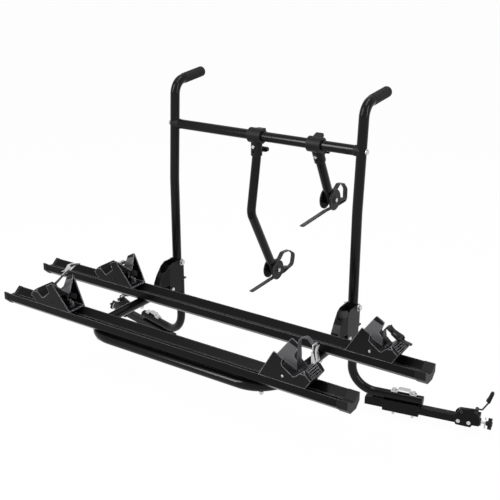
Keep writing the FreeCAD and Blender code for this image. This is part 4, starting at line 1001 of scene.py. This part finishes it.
@dataclass(frozen=True)
class ChockFittings:
    """The strap, buckle, wing knob and screws of one wheel chock."""

    name: str
    side: int
    route: Route
    run: int
    share: float
    flip: bool = False
    dark: bool = False
    band: RibbedBand = RibbedBand(22.0, 2.5, rib=0.6, pitch=3.4, margin=2.2, taper=0.6)
    foot_level: float = PIVOT_LEVEL - TROUGH_DROP
    knob_along: float = 24.0
    knob_turn: float = 24.0
    knob_stem: Outline = ((0, 4.1), (8.5, 4.1), (8.5, 7), (6, 9), (6, 20), (4.6, 22), (0, 22))
    knob_wing: FlatPart = FlatPart(
        ((-17, 12), (-15, 9.4), (15, 9.4), (17, 12), (14, 24), (9, 26), (5, 21), (-5, 21), (-9, 26),
         (-14, 24)), 1.4)
    wing_half: float = 3.6
    screw_along: float = 75.5
    screw_up: float = 19.0
    cheek: float = 35.6
    screw: Outline = ((0, 0.9), (1.7, 0.9), (1.7, 2.1), (2.6, 2), (3.6, 1.2), (3.9, 0), (3.9, -1),
                      (0, -1))

    def place(self) -> Matrix:
        """Give the chock's own frame: X outward from its start, Y backward, Z up from its foot.

        Returns:
            The frame's place in the model, in millimetres.
        """
        rail = RAIL_AHEAD[self.name.split("_")[0]]
        corner = Vector((self.side * CHOCK_STARTS[self.name], -rail - SEAT_BACK, self.foot_level))
        return Matrix.Translation(corner) @ Matrix.Diagonal((self.side, 1.0, 1.0, 1.0))

    def buckle_place(self) -> Matrix:
        """Give the buckle's frame: X along its run of the strap, Z out of it.

        Returns:
            The frame's place in the model, in millimetres.
        """
        low, high = spot_of(self.route[self.run]), spot_of(self.route[self.run + 1])
        out = Matrix.Diagonal((1, 1, -1 if self.flip else 1, 1))
        middle = Matrix.Translation(low.lerp(high, self.share))
        return self.place() @ middle @ turned_to(high - low) @ out

    def build(self, workshop: Workshop) -> None:
        """Make every fitting of the chock.

        Args:
            workshop: Finishes the pieces.
        """
        body, place = f"chock_{self.name}", self.place()
        strap = workshop.piece(f"ribbed_strap_{self.name}", self.band.build(self.route, self.flip),
                               body, Finish.STRAP, place)
        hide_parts(f"chock_strap_{self.name}")
        if self.dark or self.flip:
            workshop.coat(strap, workshop.dark_strap)
        metal, plastic = Finish.BUCKLE, Finish.MOULDED
        if self.dark:
            metal, plastic = plastic, metal
        maker, run = Buckle(self.band.width / 2.0), self.buckle_place()
        buckle = workshop.piece(f"buckle_{self.name}", maker.make_frame(), body, metal, run)
        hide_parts(f"chock_buckle_{self.name}")
        pawl = workshop.piece(f"buckle_pawl_{self.name}", maker.make_pawl(), body, plastic, run)
        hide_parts(f"chock_buckle_{self.name}")
        workshop.piece(f"wing_knob_{self.name}", self.make_knob(), body, Finish.STRAP, place)
        finish = Finish.ZINC if self.side > 0 else Finish.MOULDED
        workshop.piece(f"cheek_screws_{self.name}", self.make_screws(), body, finish, place)

    def make_knob(self) -> Shape:
        """Mould the wing knob that locks the chock in the rail's slot.

        Returns:
            The knob in the chock's frame.
        """
        knob = Shape.turned(self.knob_stem, steps=24).join(self.knob_wing.across(self.wing_half))
        along = Matrix.Translation((self.knob_along, 0.0, 0.0))
        return knob.place(along @ turn_about("Z", self.knob_turn))

    def make_screws(self) -> Shape:
        """Set a domed screw with a hexagon socket in each cheek.

        Returns:
            Both screws in the chock's frame.
        """
        seats = [Matrix.Translation((self.screw_along, hand * self.cheek, self.screw_up))
                 @ turn_about("X", -90.0 * hand) for hand in (-1.0, 1.0)]
        return Shape.turned_at(seats, self.screw, steps=20)


@dataclass(frozen=True)
class FrameHolder:
    """The ribbed strap and the ratchet's small parts on one holder head."""

    name: str
    hinge: Triple
    route: Route
    band: RibbedBand = RibbedBand(15.0, 3.0, rib=0.9, pitch=3.0, margin=1.5)
    disc: float = 32.5
    disc_half: float = 18.5
    lip: Outline = ((-4.2, 0), (-3.4, 0.9), (-1.2, 0.9), (-0.3, 0), (-0.8, -0.8), (-3.8, -0.8),
                    (-4.2, 0))
    boss: Outline = ((9.4, -0.6), (9.4, 0.6), (12.4, 1.5), (14.6, 0.6), (14.6, -0.6), (9.4, -0.6))
    ridge: FlatPart = FlatPart(((0, 0), (1.1, 1.5), (2.2, 0)))
    ridges: int = 4
    first_ridge: Pair = (70.0, -19.0)
    ridge_step: Pair = (4.4, -0.9)
    ridge_half: float = 6.6

    def place(self) -> Matrix:
        """Give the head's frame: X backward from the hinge, Y to the left, Z up."""
        return Matrix.Translation(self.hinge) @ turn_about("Z", 90.0)

    def build(self, workshop: Workshop) -> None:
        """Make the head's fittings.

        Args:
            workshop: Finishes the pieces.
        """
        body, place = f"head_{self.name}", self.place()
        strap = workshop.piece(f"ribbed_loop_{self.name}", self.band.build(self.route, True), body,
                               Finish.STRAP, place)
        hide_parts(f"holder_strap_{self.name}")
        workshop.coat(strap, workshop.dark_strap)
        workshop.piece(f"disc_rims_{self.name}", self.make_rims(), body, Finish.MOULDED, place)
        workshop.piece(f"ratchet_grip_{self.name}", self.make_grip(), f"ratchet_lever_{self.name}",
                       Finish.MOULDED, place)

    def make_rims(self) -> Shape:
        """Turn the raised rim and the boss on the outer face of each disc.

        Returns:
            Rims and bosses in the head's frame.
        """
        faces = [Matrix.Translation((0.0, hand * self.disc_half, 0.0))
                 @ turn_about("X", -90.0 * hand) for hand in (-1.0, 1.0)]
        rims = Shape.turned_at(faces, shifted(self.lip, self.disc, 0.0), steps=56)
        return rims.join(Shape.turned_at(faces, self.boss, steps=56))

    def make_grip(self) -> Shape:
        """Mould the ribs of the release lever's thumb end."""
        return self.ridge.row(self.ridges, self.first_ridge, self.ridge_step, self.ridge_half)


@dataclass(frozen=True)
class HandGrips:
    """The two rubber sleeves on the handles, with fine rings and a rounded end."""

    radius: float = 16.3
    bore: float = 15.1
    depth: float = 92.0
    length: float = 98.0
    mouth: Outline = ((-0.5, 0), (0, 0.6), (0, 4))
    ring: Outline = ((-0.55, 0), (-0.55, 0.7), (0, 1.3), (0, 2.6))
    ring_pitch: float = 3.2
    first_ring: float = 5.0
    plain_end: float = 12.0
    end_corner: float = 5.0
    rise: float = 6.0
    mouth_back: float = 60.6
    mouth_up: float = 606.19

    def build(self, workshop: Workshop) -> None:
        """Make both grips as one piece.

        Args:
            workshop: Finishes the pieces.
        """
        back, up = self.mouth_back - SEAT_BACK, self.mouth_up + PIVOT_LEVEL
        mouths = [Matrix.Translation((x, back, up)) @ turn_about("X", self.rise - 90.0)
                  for x in (-UPRIGHT_X, UPRIGHT_X)]
        grips = Shape.turned_at(mouths, self.profile(), steps=48)
        piece = workshop.piece("ringed_grips", grips, "upright_frame", Finish.GRIP,
                               Matrix.Identity(4), smooth=50.0)
        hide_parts("grips")

    def profile(self) -> Outline:
        """Draw the sleeve's section.

        Returns:
            Points (radius, along): the bore, the mouth, the rings and the rounded end.
        """
        points = [(0.0, self.depth), (self.bore, self.depth), (self.bore, 0.0)]
        points += shifted(self.mouth, self.radius, 0.0)
        along = self.first_ring
        while along < self.length - self.plain_end:
            points += shifted(self.ring, self.radius, along)
            along += self.ring_pitch
        corner = tuple((self.end_corner * math.cos(angle), self.end_corner * math.sin(angle))
                       for angle in (math.radians(degrees) for degrees in range(0, 91, 15)))
        points += shifted(corner, self.radius - self.end_corner, self.length - self.end_corner)
        return (*points, (0.0, self.length))


@dataclass(frozen=True)
class ClampFittings:
    """The lever's rod and grip, the bar's screws and the knob's insert at one drawbar clamp."""

    hand: str
    side: int
    turn: float
    folded: bool
    leg_back: float = 14.1
    pin_along: float = 384.0
    pin_up: float = 38.0
    knob_along: float = 414.0
    hub: Outline = ((3.1, -8), (5.6, -8), (6, -7.5), (6, 7.5), (5.6, 8), (3.1, 8), (3.1, -8))
    rod: Route = ((5, 3.5), (15, 3.5, 4), (31.5, 32, 6), (38, 54))
    rod_radius: float = 2.5
    rod_flats: int = 14
    rod_steps: int = 8
    paddle: FlatPart = FlatPart(
        ((22.6, 37.2), (33, 29.2), (36, 33), (44, 61), (43.6, 66), (40, 68), (35.4, 67.6), (33, 63),
         (29, 50)), 1.8)
    paddle_half: float = 6.0
    rib: FlatPart = FlatPart(((-0.8, 0), (2.6, -1.2), (3.1, 0.4), (-0.3, 1.6)), 0.3)
    ribs: int = 5
    first_rib: Pair = (26.8, 43.0)
    rib_step: Pair = (1.85, 4.25)
    rib_half: float = 6.5
    insert: Outline = ((0, 18.6), (2.6, 18.6), (3.4, 18.1), (3.4, 17.6), (5.4, 17.6), (5.9, 17),
                       (5.9, 15), (0, 15))
    stop_screw: Outline = ((0, 2.4), (1.4, 2.3), (3, 1.6), (3.9, 0.2), (3.9, -0.6), (0, -0.6))
    stops_along: tuple[float, ...] = (262.0, 300.0)
    bar_top: float = 12.5

    def place(self) -> Matrix:
        """Give the leg's frame: X outward along the bar, Y backward, Z up from the bar's axis.

        Returns:
            The frame's place in the model, in millimetres.
        """
        mirror = Matrix.Diagonal((self.side, 1.0, 1.0, 1.0))
        foot = Matrix.Translation((UPRIGHT_X, self.leg_back - SEAT_BACK, 0.0))
        return mirror @ foot @ turn_about("Z", self.turn)

    def build(self, workshop: Workshop) -> None:
        """Make the clamp's fittings.

        Args:
            workshop: Finishes the pieces.
        """
        place = self.place()
        pin = place @ Matrix.Translation((self.pin_along, 0.0, self.pin_up))
        swung = pin @ turn_about("Y", -90.0 if self.folded else 0.0)
        lever = f"clamp_lever_{self.hand}"
        rod = workshop.piece(f"lever_rod_{self.hand}", self.make_rod(), lever, Finish.LEVER, swung)
        grip = workshop.piece(f"lever_grip_{self.hand}", self.make_grip(), lever, Finish.MOULDED,
                              swung)
        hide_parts(lever)
        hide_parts(lever)
        workshop.piece(f"knob_insert_{self.hand}", self.make_insert(), f"clamp_screw_{self.hand}",
                       Finish.ZINC, place)
        workshop.piece(f"bar_screws_{self.hand}", self.make_bar_screws(), f"bar_{self.hand}",
                       Finish.LEVER, place)

    def make_rod(self) -> Shape:
        """Bend the lever's rod out of its hub.

        Returns:
            Hub and rod in the lever's frame.
        """
        angles = (math.tau * flat / self.rod_flats for flat in range(self.rod_flats))
        section = tuple((self.rod_radius * math.cos(angle), self.rod_radius * math.sin(angle))
                        for angle in angles)
        hub = Shape.turned(self.hub, steps=28).place(turn_about("X", 90.0))
        return hub.join(Sweep(section, self.rod).follow(self.rod_steps))

    def make_grip(self) -> Shape:
        """Mould the lever's paddle with its finger ribs."""
        ribs = self.rib.row(self.ribs, self.first_rib, self.rib_step, self.rib_half)
        return self.paddle.across(self.paddle_half).join(ribs)

    def make_insert(self) -> Shape:
        """Turn the knob's metal insert, with the end of the screw in it."""
        along = Matrix.Translation((self.knob_along, 0.0, 0.0))
        return Shape.turned(self.insert, steps=24).place(along @ turn_about("Y", 90.0))

    def make_bar_screws(self) -> Shape:
        """Set the small domed stop screws in the bar's top."""
        seats = [Matrix.Translation((along, 0.0, self.bar_top)) for along in self.stops_along]
        return Shape.turned_at(seats, self.stop_screw, steps=20)


def make_fittings(workshop: Workshop) -> None:
    """Make the pieces that the photograph shows finer than the solids.

    Args:
        workshop: Finishes the pieces.
    """
    high_loop = ((103, 30.5), (103, 118, 12), (126, 129, 10), (147, 108, 12), (147, 60))
    curled = ((103, 30.5), (99, 78, 8), (112, 84, 8), (150, 58, 20), (177, 53))
    folded_back = ((103, 30.5), (103, 50, 14), (2, 147, 12), (-18, 151.5))
    tucked = ((103, 30.5), (103, 46, 10), (60, 66, 20), (24, 66))
    for chock in (
        ChockFittings("front_right", 1, high_loop, run=3, share=0.5),
        ChockFittings("back_right", 1, curled, run=2, share=0.55, dark=True),
        ChockFittings("front_left", -1, folded_back, run=1, share=0.8, flip=True),
        ChockFittings("back_left", -1, tucked, run=1, share=0.5, flip=True),
    ):
        chock.build(workshop)
    long_loop = ((23.75, 24), (33, 24, 7), (52, 41, 14), (92, 37, 22), (124, 16, 16), (116, -20, 14),
                 (60, -30, 30), (-21, -30, 60), (-130, -34))
    short_loop = ((23.75, 24), (33, 24, 7), (50, 36, 14), (76, 32, 16), (98, 10, 14), (98, -28, 12),
                  (40, -31, 30), (-30, -30, 60), (-166, -40))
    FrameHolder("long", (-19.5, 11.27, 313.4), long_loop).build(workshop)
    FrameHolder("short", (185.5, 4.29, 590.42), short_loop).build(workshop)
    HandGrips().build(workshop)
    ClampFittings("right", 1, turn=10.8, folded=False).build(workshop)
    ClampFittings("left", -1, turn=14.2, folded=True).build(workshop)


def main() -> None:
    """Build the studio, dress the carrier and report its pieces."""
    logging.basicConfig(level=logging.INFO, format="%(name)s: %(message)s")
    Studio().build()
    workshop = Workshop()
    workshop.dress_frame()
    make_fittings(workshop)


if __name__ == "__main__":
    main()
